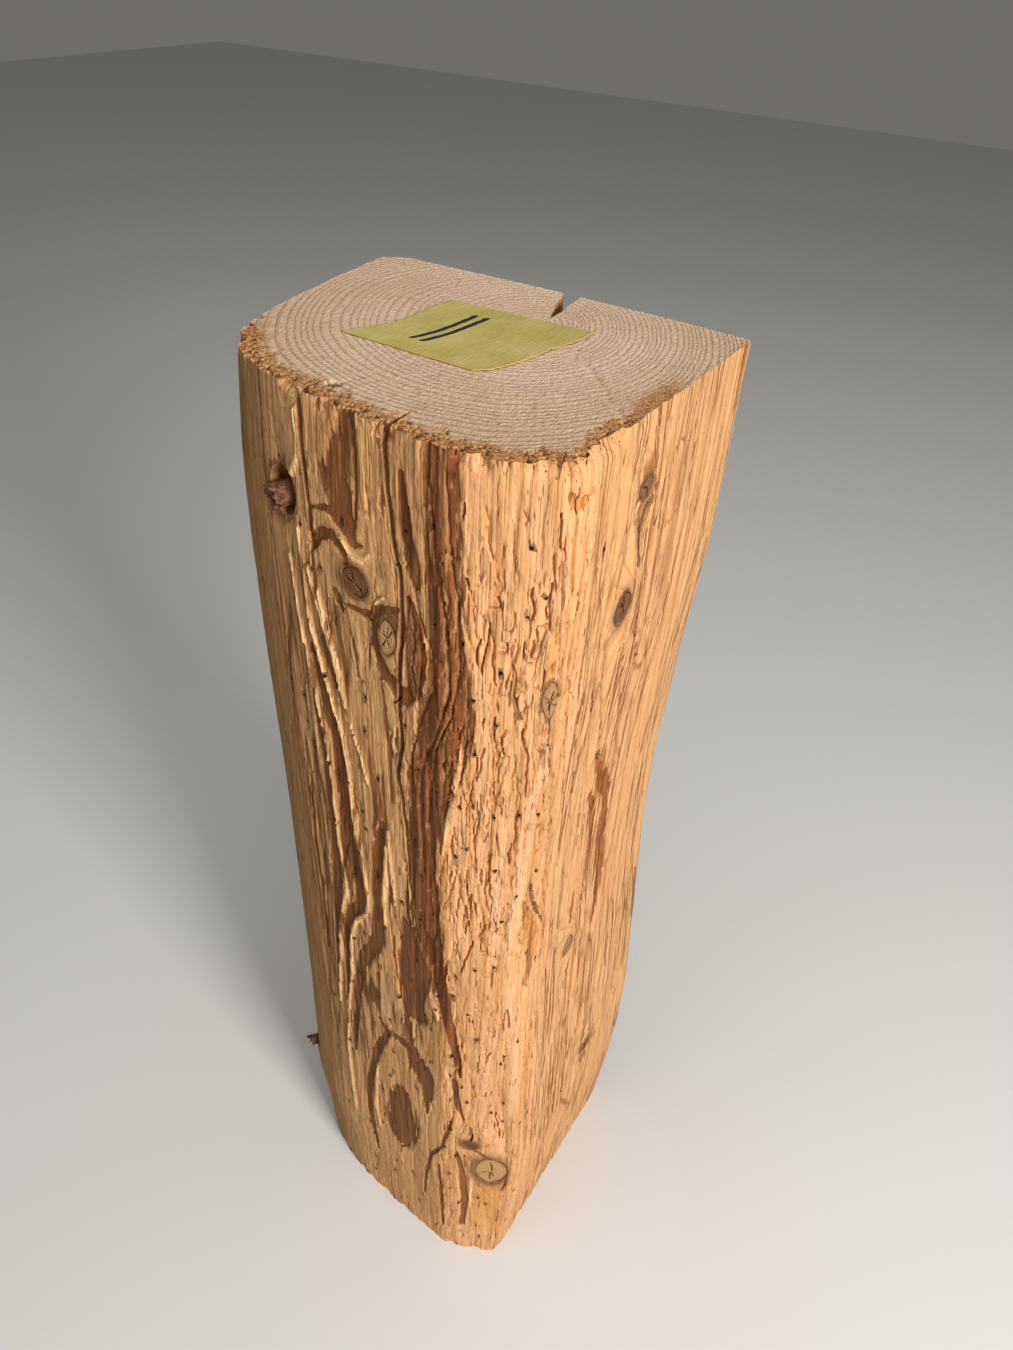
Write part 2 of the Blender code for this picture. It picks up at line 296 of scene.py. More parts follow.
# ======================================================================= marks on the skin
LATEWOOD = (
    Stroke(((121, 490), (118.5, 478), (115.5, 468), (118, 457), (121.5, 449)),
           (2.5, 4.5, 6.0, 4.6, 1.6)),
    Stroke(((103.7, 454.3), (110.9, 457), (117.3, 452.6), (120.9, 448.6), (124.4, 449.3)),
           (0.6, 1.3, 1.5, 1.3, 0.7)),
    Stroke(((103.7, 441.4), (106.6, 447), (112.3, 448.6), (117.3, 444.3), (119.6, 441)),
           (1.8, 2.2, 1.9, 1.5, 0.8)),
    Stroke(((112.3, 427), (115.1, 421.4)), (1.9, 0.7)),
    Stroke(((117.3, 425), (128, 425.7), (131, 430), (139.4, 433)), (1.0, 1.9, 1.8, 1.2)),
    Stroke(((129.4, 423), (128.7, 414.3), (132.3, 405.7), (139.4, 399), (144, 403), (148, 413),
            (148.5, 425)), (1.2, 1.8, 2.6, 3.4, 2.8, 1.5, 0.9)),
    Stroke(((123.7, 490), (124.0, 468), (123.0, 455)), (0.9, 0.8, 0.4)),
    Stroke(((140.9, 478), (142.3, 461), (145.1, 450), (146.6, 444)), (1.2, 2.6, 2.8, 1.6)),
    Stroke(((98, 400), (101, 386), (104, 372), (107, 360), (107.5, 340), (107, 325), (108.5, 310),
            (110.5, 295), (113, 280), (112, 269), (106, 261), (103, 250), (101.5, 235),
            (100, 215), (98.5, 190)),
           (0.8, 2.2, 2.4, 3.0, 3.7, 3.8, 3.6, 3.2, 3.1, 3.4, 2.8, 2.2, 1.8, 1.5, 1.0)),
    Stroke(((104, 406), (106, 395), (109, 387)), (1.3, 2.2, 1.0)),
    Stroke(((97, 379), (98, 360), (99.5, 340), (99.5, 310), (99, 290), (98, 270), (96.5, 255),
            (95, 240), (93.3, 212), (92, 190)),
           (0.9, 1.9, 2.3, 2.4, 2.4, 2.4, 1.9, 1.4, 1.0, 0.7)),
    Stroke(((127.5, 332), (124.5, 315), (123, 300), (122, 285), (122, 270), (121, 255),
            (116, 242), (110.5, 230), (107.5, 215), (105, 200), (104, 182), (101, 165),
            (100, 145)), (0.9, 3.2, 2.8, 2.6, 3.0, 4.0, 3.8, 3.6, 2.8, 2.4, 2.0, 1.6, 1.2)),
    Stroke(((143, 274), (144, 262), (141, 250), (140, 240), (140, 230), (141, 220), (136.5, 213)),
           (9.0, 12.5, 10.0, 8.5, 7.0, 7.0, 1.5)),
    Stroke(((138.3, 208), (138.0, 195), (138.5, 184)), (0.9, 1.6, 1.6)),
    Stroke(((119, 192), (124, 186), (131, 187), (138, 186), (141, 178), (145, 170), (147, 160),
            (147.5, 148), (147.5, 137)), (1.0, 2.4, 2.8, 4.0, 6.4, 6.8, 4.4, 2.2, 0.7)),
    Stroke(((131, 139), (131, 125), (131, 110), (129.5, 100), (130, 90), (132, 83)),
           (4.5, 8.4, 9.4, 10.8, 7.2, 1.5)),
    Stroke(((124, 184), (119.5, 172), (115, 158), (112, 138), (109, 125), (108, 97), (110, 72),
            (112, 52)), (1.2, 2.6, 2.6, 2.2, 2.0, 1.8, 1.6, 0.8)),
    Stroke(((88, 330), (86, 300), (87, 262), (85, 215)), (0.5, 1.3, 1.1, 0.5)),
    Stroke(((163, 182), (165, 160), (168, 148)), (1.5, 1.7, 0.8)),
    Stroke(((161.7, 142), (157, 113), (150, 97), (146.7, 72), (145, 44)),
           (0.7, 1.1, 1.2, 1.0, 0.8)),
    Stroke(((165, 114), (168, 97), (170, 63), (169, 30)), (0.9, 1.7, 2.0, 1.6)),
    Stroke(((155, 92), (157, 60), (158, 22)), (0.6, 1.3, 0.9)),
    Stroke(((84, 400), (82, 372), (84, 345)), (0.4, 0.9, 0.4)),
    Stroke(((169, 125), (175, 119), (183, 113.5), (190, 110), (193.6, 100), (193.2, 86), (190, 78)),
           (1.6, 1.3, 0.7, 0.9, 1.5, 1.3, 0.5)),
)
BAST = (
    Stroke(((154.5, 490), (155, 470), (156, 450), (157, 430), (158, 410), (156, 395), (152.5, 380),
            (150.5, 365), (148.5, 350), (147, 335), (147, 320), (148.5, 305), (149.3, 290),
            (149.5, 278), (153, 266), (156, 254), (158, 240), (160, 230), (161.5, 220),
            (163.5, 205), (166, 188)),
           (6.0, 6.3, 6.5, 6.8, 8.3, 10.5, 10.2, 9.2, 8.0, 7.2, 6.6, 6.4, 6.6, 6.4, 5.0, 3.6, 2.9,
            2.6, 2.2, 2.0, 0.8)),
)
BAST_GROOVES = (
    Stroke(((150.1, 490), (152.3, 461), (155.1, 447), (157.3, 433), (158.7, 410), (153.7, 391),
            (148, 376), (145.9, 353), (146.3, 333), (147.5, 318)),
           (0.6, 0.7, 0.8, 0.8, 0.8, 0.8, 0.7, 0.7, 0.6, 0.4)),
    Stroke(((156.6, 484), (158.3, 461), (160.9, 443), (161.6, 421), (159.4, 401), (153.7, 386),
            (151.6, 369), (149.4, 347)), (0.4, 0.6, 0.6, 0.7, 0.6, 0.6, 0.6, 0.3)),
    Stroke(((145.1, 443), (150.9, 424), (152.3, 410), (148, 397), (143.7, 381), (141, 367)),
           (0.4, 0.5, 0.6, 0.6, 0.5, 0.3)),
    Stroke(((152, 335), (152.5, 315), (153.5, 297), (153, 280)), (0.4, 0.7, 0.8, 0.4)),
    Stroke(((129.2, 277), (130.2, 255), (132, 235), (135, 213)), (0.4, 0.5, 0.5, 0.3)),
)
RIDGES = (
    Stroke(((101.8, 345), (102.3, 312), (103.8, 285), (104, 272), (100.5, 258), (98.5, 245),
            (97, 228), (94.5, 205), (92.5, 180)), (0.8, 1.3, 1.3, 1.3, 1.4, 1.2, 1.1, 1.0, 0.7)),
    Stroke(((109.5, 372), (112, 345), (113, 318), (115.5, 300), (117.3, 285), (116.5, 271),
            (110, 259), (106.5, 250), (104.3, 235), (103.3, 215), (100.5, 195), (98.5, 178)),
           (0.8, 1.3, 1.6, 1.6, 1.6, 1.7, 1.6, 1.3, 1.1, 1.1, 0.9, 0.6)),
    Stroke(((129.3, 320), (128.2, 300), (127, 285), (126.5, 270)), (0.8, 1.5, 1.4, 0.7)),
    Stroke(((97.3, 445), (98.7, 410), (103.7, 390), (109.4, 368)), (0.7, 0.9, 0.9, 0.7)),
    Stroke(((100, 432), (109.4, 398), (112.3, 381)), (0.8, 1.2, 0.7)),
    Stroke(((91.6, 433), (94.4, 404), (98, 380), (100.9, 347)), (0.7, 0.9, 0.9, 0.7)),
    Stroke(((104, 425), (107, 410), (111, 395), (113, 380)), (0.5, 0.9, 0.8, 0.5)),
    Stroke(((115, 374), (119, 361), (122, 349)), (0.5, 0.7, 0.5)),
    Stroke(((108, 304), (107.3, 290), (107.6, 277)), (0.6, 1.5, 0.8)),
    Stroke(((127.5, 425), (129.5, 431), (134, 436)), (0.5, 0.7, 0.5)),
    Stroke(((116.5, 449.5), (121, 444.5), (125.5, 444.5), (128, 448)), (0.6, 1.1, 1.1, 0.6)),
    Stroke(((96, 463), (99.5, 470), (99.5, 484)), (1.6, 1.4, 0.7)),
    Stroke(((150.5, 244), (152, 236), (154.5, 228)), (1.0, 2.6, 1.4)),
    Stroke(((135, 207), (135.8, 196), (137, 186)), (0.6, 1.3, 0.8)),
    Stroke(((116.5, 150), (114.5, 125), (113, 104), (115.5, 84)), (1.0, 1.8, 1.7, 0.8)),
    Stroke(((130, 330), (131.5, 305), (133, 288)), (0.5, 0.9, 0.5)),
    Stroke(((164.5, 405), (163.5, 390), (160.8, 372), (158.5, 352), (156.5, 335)),
           (0.6, 1.0, 1.0, 0.9, 0.6)),
    Stroke(((97, 165), (95.5, 140), (96.5, 110), (98, 80)), (0.7, 1.3, 1.2, 0.7)),
    Stroke(((172, 108), (173.5, 85), (173, 55)), (0.7, 1.2, 0.8)),
)
ROT = (
    Stroke(((236, 354), (238, 345), (242, 338), (246, 330), (252, 320), (254.5, 308), (255.3, 292),
            (257, 275), (258.5, 263), (256.5, 247), (255, 230)),
           (1.4, 2.6, 4.4, 5.4, 4.2, 3.2, 4.0, 4.8, 4.2, 2.4, 0.9)),
    Stroke(((236, 330), (241, 320), (243.5, 303), (244.3, 280), (242.7, 262)),
           (2.2, 2.6, 1.4, 1.0, 0.6)),
    Stroke(((234.2, 272), (233.6, 262), (233.0, 253)), (1.0, 1.8, 0.7)),
    Stroke(((143.0, 439), (144.6, 430), (145.2, 418), (144.2, 408), (142.2, 401)),
           (1.2, 2.8, 3.4, 2.9, 1.2)),
)
GOLD = (
    Stroke(((182, 76), (182, 60), (184, 33)), (5.5, 9.0, 8.0)),
)
NOTCH = (
    Stroke(((189, 312), (192, 301), (196, 289), (199, 280), (199, 268), (197.5, 258), (197, 250)),
           (0.8, 2.6, 4.4, 4.4, 3.2, 2.0, 0.7)),
    Stroke(((192, 481), (196, 478), (201, 477), (204, 478)), (1.8, 2.6, 2.0, 1.0)),
)
RIGHT_LINES = (
    Stroke(((191.8, 466), (193.5, 440), (195.2, 423), (194, 402), (196.5, 380)),
           (0.4, 0.7, 0.9, 0.7, 0.4)),
    Stroke(((196.8, 473), (197.7, 448), (196.8, 420), (196, 397), (199.3, 373), (201.8, 357),
            (203.5, 335)), (0.4, 0.7, 0.7, 0.9, 0.7, 0.6, 0.4)),
    Stroke(((204.3, 466), (201.8, 440), (200.2, 420), (198.4, 400)), (0.5, 0.7, 0.7, 0.4)),
    Stroke(((209.3, 470), (206, 440), (202.7, 407), (206, 382), (210.2, 357), (211, 328)),
           (0.4, 0.8, 0.8, 0.6, 0.7, 0.5)),
    Stroke(((214.3, 470), (211, 442), (209.3, 418), (211, 397), (214.3, 377), (220.2, 330),
            (221, 297), (222.7, 280), (220.2, 256)), (0.4, 0.7, 0.6, 0.7, 0.6, 0.7, 0.8, 1.1, 0.5)),
    Stroke(((220.2, 458), (216, 440), (213.5, 418), (214.5, 395)), (0.4, 0.7, 0.5, 0.3)),
    Stroke(((226.8, 458), (222.7, 437), (219.3, 417), (220.2, 397), (224.3, 372), (230, 340),
            (232.7, 320), (233.5, 297), (234.3, 273)),
           (0.4, 0.8, 0.8, 0.6, 0.5, 0.5, 0.7, 0.7, 0.5)),
    Stroke(((223.5, 417), (226, 400), (231.8, 377), (237, 355)), (0.5, 0.8, 0.7, 0.9)),
    Stroke(((238.5, 407), (242.7, 387), (249.3, 363), (254.3, 340), (256, 325)),
           (0.4, 0.9, 1.1, 1.5, 1.2)),
    Stroke(((241, 470), (244.3, 462), (247.7, 447), (248.5, 432), (246, 420), (245.2, 408),
            (249.3, 397), (256, 383), (260.2, 380), (263.5, 385), (269.3, 403), (271, 423),
            (271.8, 448), (267.7, 474)),
           (0.4, 0.9, 1.0, 0.8, 1.0, 1.0, 1.1, 1.3, 1.6, 1.2, 1.0, 0.9, 0.8, 0.5)),
    Stroke(((251.8, 463), (252.7, 453), (256, 443), (262.7, 446), (264.3, 458), (262.7, 470),
            (256, 474), (252.2, 466)), (0.5, 0.6, 0.6, 0.6, 0.5, 0.5, 0.5, 0.5)),
    Stroke(((253, 442), (254, 430), (253.5, 415), (257, 400), (262, 405), (264.5, 425),
            (264, 440)), (0.4, 0.5, 0.6, 0.6, 0.5, 0.5, 0.4)),
    Stroke(((242.7, 262), (242.7, 243), (240.2, 222), (239.3, 203), (236, 172), (233, 140),
            (230.5, 118), (233, 95)), (0.9, 0.9, 0.9, 1.0, 0.9, 0.9, 0.8, 0.6)),
    Stroke(((255, 232), (252, 205), (251, 190), (251.5, 172), (248.5, 153)),
           (1.2, 1.5, 1.4, 1.6, 1.2)),
    Stroke(((206, 300), (209, 275), (208, 240), (210, 200)), (0.4, 0.8, 0.7, 0.4)),
    Stroke(((214, 300), (216, 265), (214, 235)), (0.4, 0.6, 0.3)),
    Stroke(((268, 320), (270, 295), (268, 265)), (0.4, 0.8, 0.4)),
    Stroke(((238, 118), (241, 100), (246, 88), (252, 75)), (0.6, 1.2, 1.6, 0.8)),
    Stroke(((207, 180), (206, 150), (208, 110), (206, 70)), (0.4, 0.6, 0.7, 0.4)),
    Stroke(((225, 140), (226, 100), (230, 60), (236, 25)), (0.4, 0.7, 0.7, 0.4)),
)
RIGHT_OVALS = (
    Stroke(((258.8, 434), (258.5, 425), (258.2, 417)), (3.4, 4.3, 3.6)),
    Stroke(((258.0, 465), (258.2, 452)), (4.2, 3.4)),
    Stroke(((247, 131), (254, 131)), (3.4, 3.0)),
)
PALE = (
    Stroke(((192, 478), (194.5, 430), (192, 385), (187, 345), (184.5, 315), (183, 280)),
           (1.0, 1.6, 2.4, 4.0, 4.5, 2.0)),
    Stroke(((186, 262), (190, 215), (192, 180), (191, 150)), (2.0, 3.5, 4.0, 2.0)),
    Stroke(((178, 345), (176, 310), (179, 285)), (1.5, 3.0, 1.5)),
    Stroke(((112, 437), (113.5, 430)), (2.6, 2.2)),
    Stroke(((128, 215), (120, 205), (124, 198)), (7.0, 6.0, 4.0)),
)


class Mark(StrEnum):
    """The names that the timber's finish reads its marks by."""

    LATEWOOD = "latewood"
    BAST = "bast"
    SAPWOOD = "sapwood"
    HALO = "halo"
    PIT = "pit"
    ROT = "rot"
    PALE = "pale"
    SWIRL = "swirl"
    GRAIN_X = "grain_x"
    GRAIN_Y = "grain_y"
    VALLEY = "valley"
    SAWN = "sawn"
    # painted shade on the left side, which faces away from the light
    SHADE = "shade"
    RIM = "rim"
    NOTCH = "notch"
    RIDGE = "ridge"
    LINE = "line"
    OPEN_GRAIN = "open_grain"
    GOLD = "gold"
    FRAY = "fray"
    CRUMBLY = "crumbly"
    BORED = "bored"


# ======================================================================= knots: where they sit
@dataclass(frozen=True)
class KnotSpec:
    """A dead knot: its CAD node, direction, height, half sizes and look."""

    node: str
    facing: float
    height: float
    half_width: float
    half_height: float
    depth: float
    halo: float = 1.0               # how dark the wood round it is
    pale: float = 0.0               # how pale its face is
    pointed: float = 0.3            # how far its outline is drawn to four points

    def outline(self, turn: np.ndarray) -> np.ndarray:
        """How far out its uneven edge is.

        Args:
            turn: Directions from its heart, in radians.

        Returns:
            The distance at each, as a share of its half sizes; never more than 1.
        """
        power = 2 - 0.85 * self.pointed
        shape = (np.abs(np.cos(turn)) ** power + np.abs(np.sin(turn)) ** power) ** (-1 / power)
        rng = np.random.default_rng(round(self.height / MM))
        lumps = sum(rng.uniform(-1, 1) * np.cos(n * turn + rng.uniform(0, 6.3)) / n**0.6
                    for n in (2, 3, 5, 8, 13))
        return shape * (0.95 + 0.05 * np.clip(lumps, -1.6, 1.0))


KNOTS = (
    KnotSpec("knot_front_split", -94.9, 0.4362, 0.0056, 0.0056, 0.030, 1.1, 0.05, 0.1),
    KnotSpec("knot_front_pale", -87.6, 0.4210, 0.0036, 0.0068, 0.024, 0.35, 0.9, 0.3),
    KnotSpec("knot_right_upper", -35.0, 0.4660, 0.0040, 0.0038, 0.026, 0.9, 0.12, 0.35),
    KnotSpec("knot_right_lower", -38.0, 0.4256, 0.0048, 0.0062, 0.030, 1.0, 0.0, 0.40),
    KnotSpec("knot_corner_grey", -57.0, 0.4134, 0.0026, 0.0082, 0.014, 0.10, 0.75, 0.6),
    KnotSpec("knot_right_middle", -37.6, 0.2400, 0.0036, 0.0046, 0.016, 0.6, 0.5, 0.5),
    KnotSpec("knot_right_base", -15.4, 0.1270, 0.0038, 0.0036, 0.016, 1.8, 0.05, 0.5),
    KnotSpec("knot_base_dark", -66.9, 0.1256, 0.0042, 0.0036, 0.018, 2.6, 0.0, 0.6),
    KnotSpec("knot_base_round", -60.6, 0.1010, 0.0085, 0.0125, 0.032, 2.4, 0.95, 0.2),
    KnotSpec("knot_back_upper", 58.0, 0.4400, 0.0046, 0.0054, 0.022, 0.8, 0.2),
    KnotSpec("knot_back_lower", 121.0, 0.1130, 0.0050, 0.0058, 0.024, 0.8, 0.3),
    KnotSpec("knot_left_upper", 171.0, 0.4280, 0.0050, 0.0060, 0.026, 0.8, 0.3),
)
KNOT_TAPER = 0.30
POCKET_GAP = 0.0003
KNOT_GAP = 0.00014


@dataclass(frozen=True)
class StubSpec:
    """A broken branch: its CAD node, direction, height, hollow and branch sizes."""

    node: str
    facing: float
    height: float
    hollow_width: float
    hollow_height: float
    hollow_depth: float
    radius: float
    proud: float
    root: float


STUBS = (
    StubSpec("branch_stub_upper", -114.6, 0.4528, 0.0066, 0.0080, 0.0090, 0.0042, 0.0030, 0.034),
    StubSpec("branch_stub_lower", -133.0, 0.0935, 0.0042, 0.0052, 0.0030, 0.0030, 0.0052, 0.026),
)


# ======================================================================= mesh helpers
def new_object(name: str, mesh: Mesh) -> Object:
    """Put a mesh in the scene as an object at the origin."""
    obj = bpy.data.objects.new(name, mesh)
    bpy.context.scene.collection.objects.link(obj)
    return obj


def mesh_from(name: str, points: np.ndarray, faces: list | np.ndarray) -> Mesh:
    """Make a mesh from points in metres and lists of corners."""
    mesh = bpy.data.meshes.new(name)
    mesh.from_pydata(points, [], faces)
    mesh.update()
    return mesh


def set_mark(mesh: Mesh, name: str, values: np.ndarray) -> None:
    """Store one number at each point of a mesh, for its finish to read."""
    layer = mesh.attributes.get(name) or mesh.attributes.new(name, "FLOAT", "POINT")
    layer.data.foreach_set("value", np.ascontiguousarray(values, dtype=np.float32).ravel())


def evaluated_copy(obj: Object) -> Mesh:
    """The object's mesh with its modifiers applied, as a new mesh."""
    graph = bpy.context.evaluated_depsgraph_get()
    return bpy.data.meshes.new_from_object(obj.evaluated_get(graph),
                                           preserve_all_data_layers=True, depsgraph=graph)


def bake_modifiers(obj: Object) -> None:
    """Replace the object's mesh by its evaluated one and drop its modifiers."""
    baked = evaluated_copy(obj)
    obj.modifiers.clear()
    old, obj.data = obj.data, baked
    bpy.data.meshes.remove(old)


def keep_below(mesh: Mesh, top: float) -> None:
    """Press a mesh's points into the space between the floor and a height."""
    places = np.empty(len(mesh.vertices) * 3)
    mesh.vertices.foreach_get("co", places)
    places[2::3] = np.clip(places[2::3], 0.0, top)
    mesh.vertices.foreach_set("co", places)


def ring_faces(rings: int, around: int, close_ends: bool = True) -> list[tuple[int, ...]]:
    """Faces between stacked rings of points, with an n-gon on each end."""
    faces: list[tuple[int, ...]] = []
    for k in range(rings - 1):
        for i in range(around):
            j = (i + 1) % around
            faces.append((k * around + i, k * around + j, (k + 1) * around + j,
                          (k + 1) * around + i))
    if close_ends:
        faces.append(tuple(reversed(range(around))))
        faces.append(tuple(range((rings - 1) * around, rings * around)))
    return faces


def turn_faces_out(mesh: Mesh) -> None:
    """Make every face of a closed mesh point outwards."""
    bm = bmesh.new()
    bm.from_mesh(mesh)
    bmesh.ops.recalc_face_normals(bm, faces=bm.faces[:])
    bm.to_mesh(mesh)
    bm.free()


def closed_mesh(name: str, points: np.ndarray, faces: list | np.ndarray) -> Mesh:
    """A closed mesh whose faces point outwards."""
    mesh = mesh_from(name, points, faces)
    turn_faces_out(mesh)
    return mesh


def join_meshes(name: str, objects: list[Object]) -> Object:
    """Join objects into one new object at the origin and remove them."""
    bm = bmesh.new()
    for obj in objects:
        bm.from_mesh(obj.data)
    mesh = bpy.data.meshes.new(name)
    for mat in objects[0].data.materials:
        mesh.materials.append(mat)
    bm.to_mesh(mesh)
    bm.free()
    for obj in objects:
        bpy.data.objects.remove(obj, do_unlink=True)
    return new_object(name, mesh)


# ======================================================================= node helper
class Graph:
    """Builds one material's shader, node by node."""

    def __init__(self, name: str) -> None:
        """Start an empty shader with a Principled BSDF on its output."""
        self.material = bpy.data.materials.new(name)
        self.material.use_nodes = True
        self.tree = self.material.node_tree
        self.shader = self.tree.nodes["Principled BSDF"]
        self.place = self.add("ShaderNodeTexCoord").outputs["Object"]

    def add(self, kind: str, **settings: object) -> Node:
        """Add a node and set its properties."""
        node = self.tree.nodes.new(kind)
        for key, value in settings.items():
            setattr(node, key, value)
        return node

    def put(self, socket: NodeSocket, value: object) -> None:
        """Feed a socket from another socket, or set its value."""
        if isinstance(value, NodeSocket):
            self.tree.links.new(value, socket)
        elif isinstance(value, tuple) and len(value) == 3 and socket.type == "RGBA":
            socket.default_value = (*value, 1.0)
        else:
            socket.default_value = value

    def math(self, operation: str, a: object, b: object = 0.0, c: object = 0.0,
             clamp: bool = False) -> NodeSocket:
        """One step of arithmetic on numbers or sockets."""
        node = self.add("ShaderNodeMath", operation=operation, use_clamp=clamp)
        for socket, value in zip(node.inputs, (a, b, c)):
            self.put(socket, value)
        return node.outputs[0]

    def plus(self, a: object, b: object) -> NodeSocket:
        """The sum of two values."""
        return self.math("ADD", a, b)

    def times(self, a: object, b: object, clamp: bool = False) -> NodeSocket:
        """The product of two values."""
        return self.math("MULTIPLY", a, b, clamp=clamp)

    def line(self, value: object, slope: object, start: object) -> NodeSocket:
        """A value times a slope, and a start added."""
        return self.math("MULTIPLY_ADD", value, slope, start)

    def mark(self, name: str) -> NodeSocket:
        """Read a number stored on the mesh."""
        return self.add("ShaderNodeAttribute", attribute_name=name).outputs["Fac"]

    def scaled(self, scale: tuple[float, float, float], turn: float = 0.0) -> NodeSocket:
        """The object's coordinates, turned about Z by `turn` degrees and scaled."""
        node = self.add("ShaderNodeMapping", vector_type="POINT")
        self.put(node.inputs["Vector"], self.place)
        node.inputs["Rotation"].default_value = (0, 0, math.radians(turn))
        node.inputs["Scale"].default_value = scale
        return node.outputs[0]

    def along(self, across: float, up: float, shift: float = 0.0) -> NodeSocket:
        """Coordinates that follow the grain round the knots.

        Args:
            across: Cycles per metre across the grain.
            up: Cycles per metre along it.
            shift: Moves the pattern to another place.

        Returns:
            The vector's socket.
        """
        split = self.add("ShaderNodeSeparateXYZ")
        self.put(split.inputs[0], self.place)
        joined = self.add("ShaderNodeCombineXYZ")
        for k, name in enumerate((Mark.GRAIN_X, Mark.GRAIN_Y)):
            self.put(joined.inputs[k], self.times(self.mark(name), across))
        self.put(joined.inputs[2], self.line(split.outputs[2], up, shift))
        return joined.outputs[0]

    def noise(self, vector: NodeSocket, detail: float = 2.0,
              rough: float = 0.5) -> NodeSocket:
        """Smooth noise, about 0.5."""
        node = self.add("ShaderNodeTexNoise")
        self.put(node.inputs["Vector"], vector)
        for key, value in (("Scale", 1.0), ("Detail", detail), ("Roughness", rough)):
            node.inputs[key].default_value = value
        return node.outputs["Fac"]

    def dots(self, vector: NodeSocket) -> NodeSocket:
        """Distance to the nearest of many scattered points."""
        node = self.add("ShaderNodeTexVoronoi")
        self.put(node.inputs["Vector"], vector)
        node.inputs["Scale"].default_value = 1.0
        return node.outputs["Distance"]

    def step(self, value: object, low: float, high: float) -> NodeSocket:
        """0 at low, 1 at high (which may be the smaller), and a smooth rise between."""
        node = self.add("ShaderNodeMapRange", interpolation_type="SMOOTHSTEP")
        self.put(node.inputs["Value"], value)
        flipped = high < low
        node.inputs["From Min"].default_value = min(low, high)
        node.inputs["From Max"].default_value = max(low, high)
        node.inputs["To Min"].default_value = 1.0 if flipped else 0.0
        node.inputs["To Max"].default_value = 0.0 if flipped else 1.0
        return node.outputs[0]

    def mix(self, share: object, a: object, b: object) -> NodeSocket:
        """Mix two colours."""
        node = self.add("ShaderNodeMix", data_type="RGBA")
        self.put(node.inputs["Factor"], share)
        self.put(node.inputs[6], a)
        self.put(node.inputs[7], b)
        return node.outputs[2]

    def bump(self, height: object, depth: float, strength: float = 1.0,
             after: object = None) -> NodeSocket:
        """A bumped normal: height 0..1 is worth `depth` metres."""
        node = self.add("ShaderNodeBump")
        node.inputs["Strength"].default_value = strength
        node.inputs["Distance"].default_value = depth
        self.put(node.inputs["Height"], height)
        if after is not None:
            self.put(node.inputs["Normal"], after)
        return node.outputs[0]

    def finish(self, colour: object, rough: object, normal: object = None,
               specular: float = 0.3) -> Material:
        """Connect the shader.

        Args:
            colour: Base colour, or its socket.
            rough: Roughness, or its socket.
            normal: The bumped normal's socket, or None.
            specular: Strength of the shine.

        Returns:
            The finished material.
        """
        self.put(self.shader.inputs["Base Color"], colour)
        self.put(self.shader.inputs["Roughness"], rough)
        self.shader.inputs["Specular IOR Level"].default_value = specular
        if normal is not None:
            self.put(self.shader.inputs["Normal"], normal)
        return self.material


# ======================================================================= finishes
@dataclass(frozen=True)
class GrowthRings:
    """The log's growth rings, as a pattern that runs right through the wood."""

    pith: tuple[float, float] = (0.0112, 0.0328)
    count: float = 40.0             # rings from the pith to the bark
    wide: float = 0.103             # the outermost ring's distance on the wide side
    narrow: float = 0.037           # how much nearer it is on the narrow side
    narrow_facing: float = 25.0     # degrees
    wander: float = 0.9             # how many rings they wander by

    def build(self, g: Graph) -> tuple[NodeSocket, NodeSocket]:
        """Add the pattern's nodes.

        Args:
            g: The material's graph.

        Returns:
            The ring number at each point, and the direction from the pith in radians.
        """
        centred = g.add("ShaderNodeVectorMath", operation="SUBTRACT")
        g.put(centred.inputs[0], g.place)
        centred.inputs[1].default_value = (*self.pith, 0.0)
        split = g.add("ShaderNodeSeparateXYZ")
        g.put(split.inputs[0], centred.outputs[0])
        x, y = split.outputs[0], split.outputs[1]
        reach = g.math("SQRT", g.plus(g.times(x, x), g.times(y, y)))
        facing = g.math("ARCTAN2", y, x)
        lobe = g.math("COSINE", g.math("SUBTRACT", facing, math.radians(self.narrow_facing)))
        lobe = g.math("POWER", g.math("MAXIMUM", g.line(lobe, 0.91, 0.09), 0.0), 1.2)
        outer = g.line(lobe, -self.narrow, self.wide)
        rings = g.times(g.math("DIVIDE", reach, outer), self.count)
        slow = g.noise(g.scaled((14, 14, 2.2)), 1.0)
        quick = g.noise(g.scaled((90, 90, 6)), 2.0)
        rings = g.plus(rings, g.line(slow, 2 * self.wander, -self.wander))
        rings = g.plus(rings, g.line(quick, 0.5, -0.25))
        uneven = g.math("SINE", g.times(rings, 0.83))
        return g.line(uneven, 0.35, rings), facing


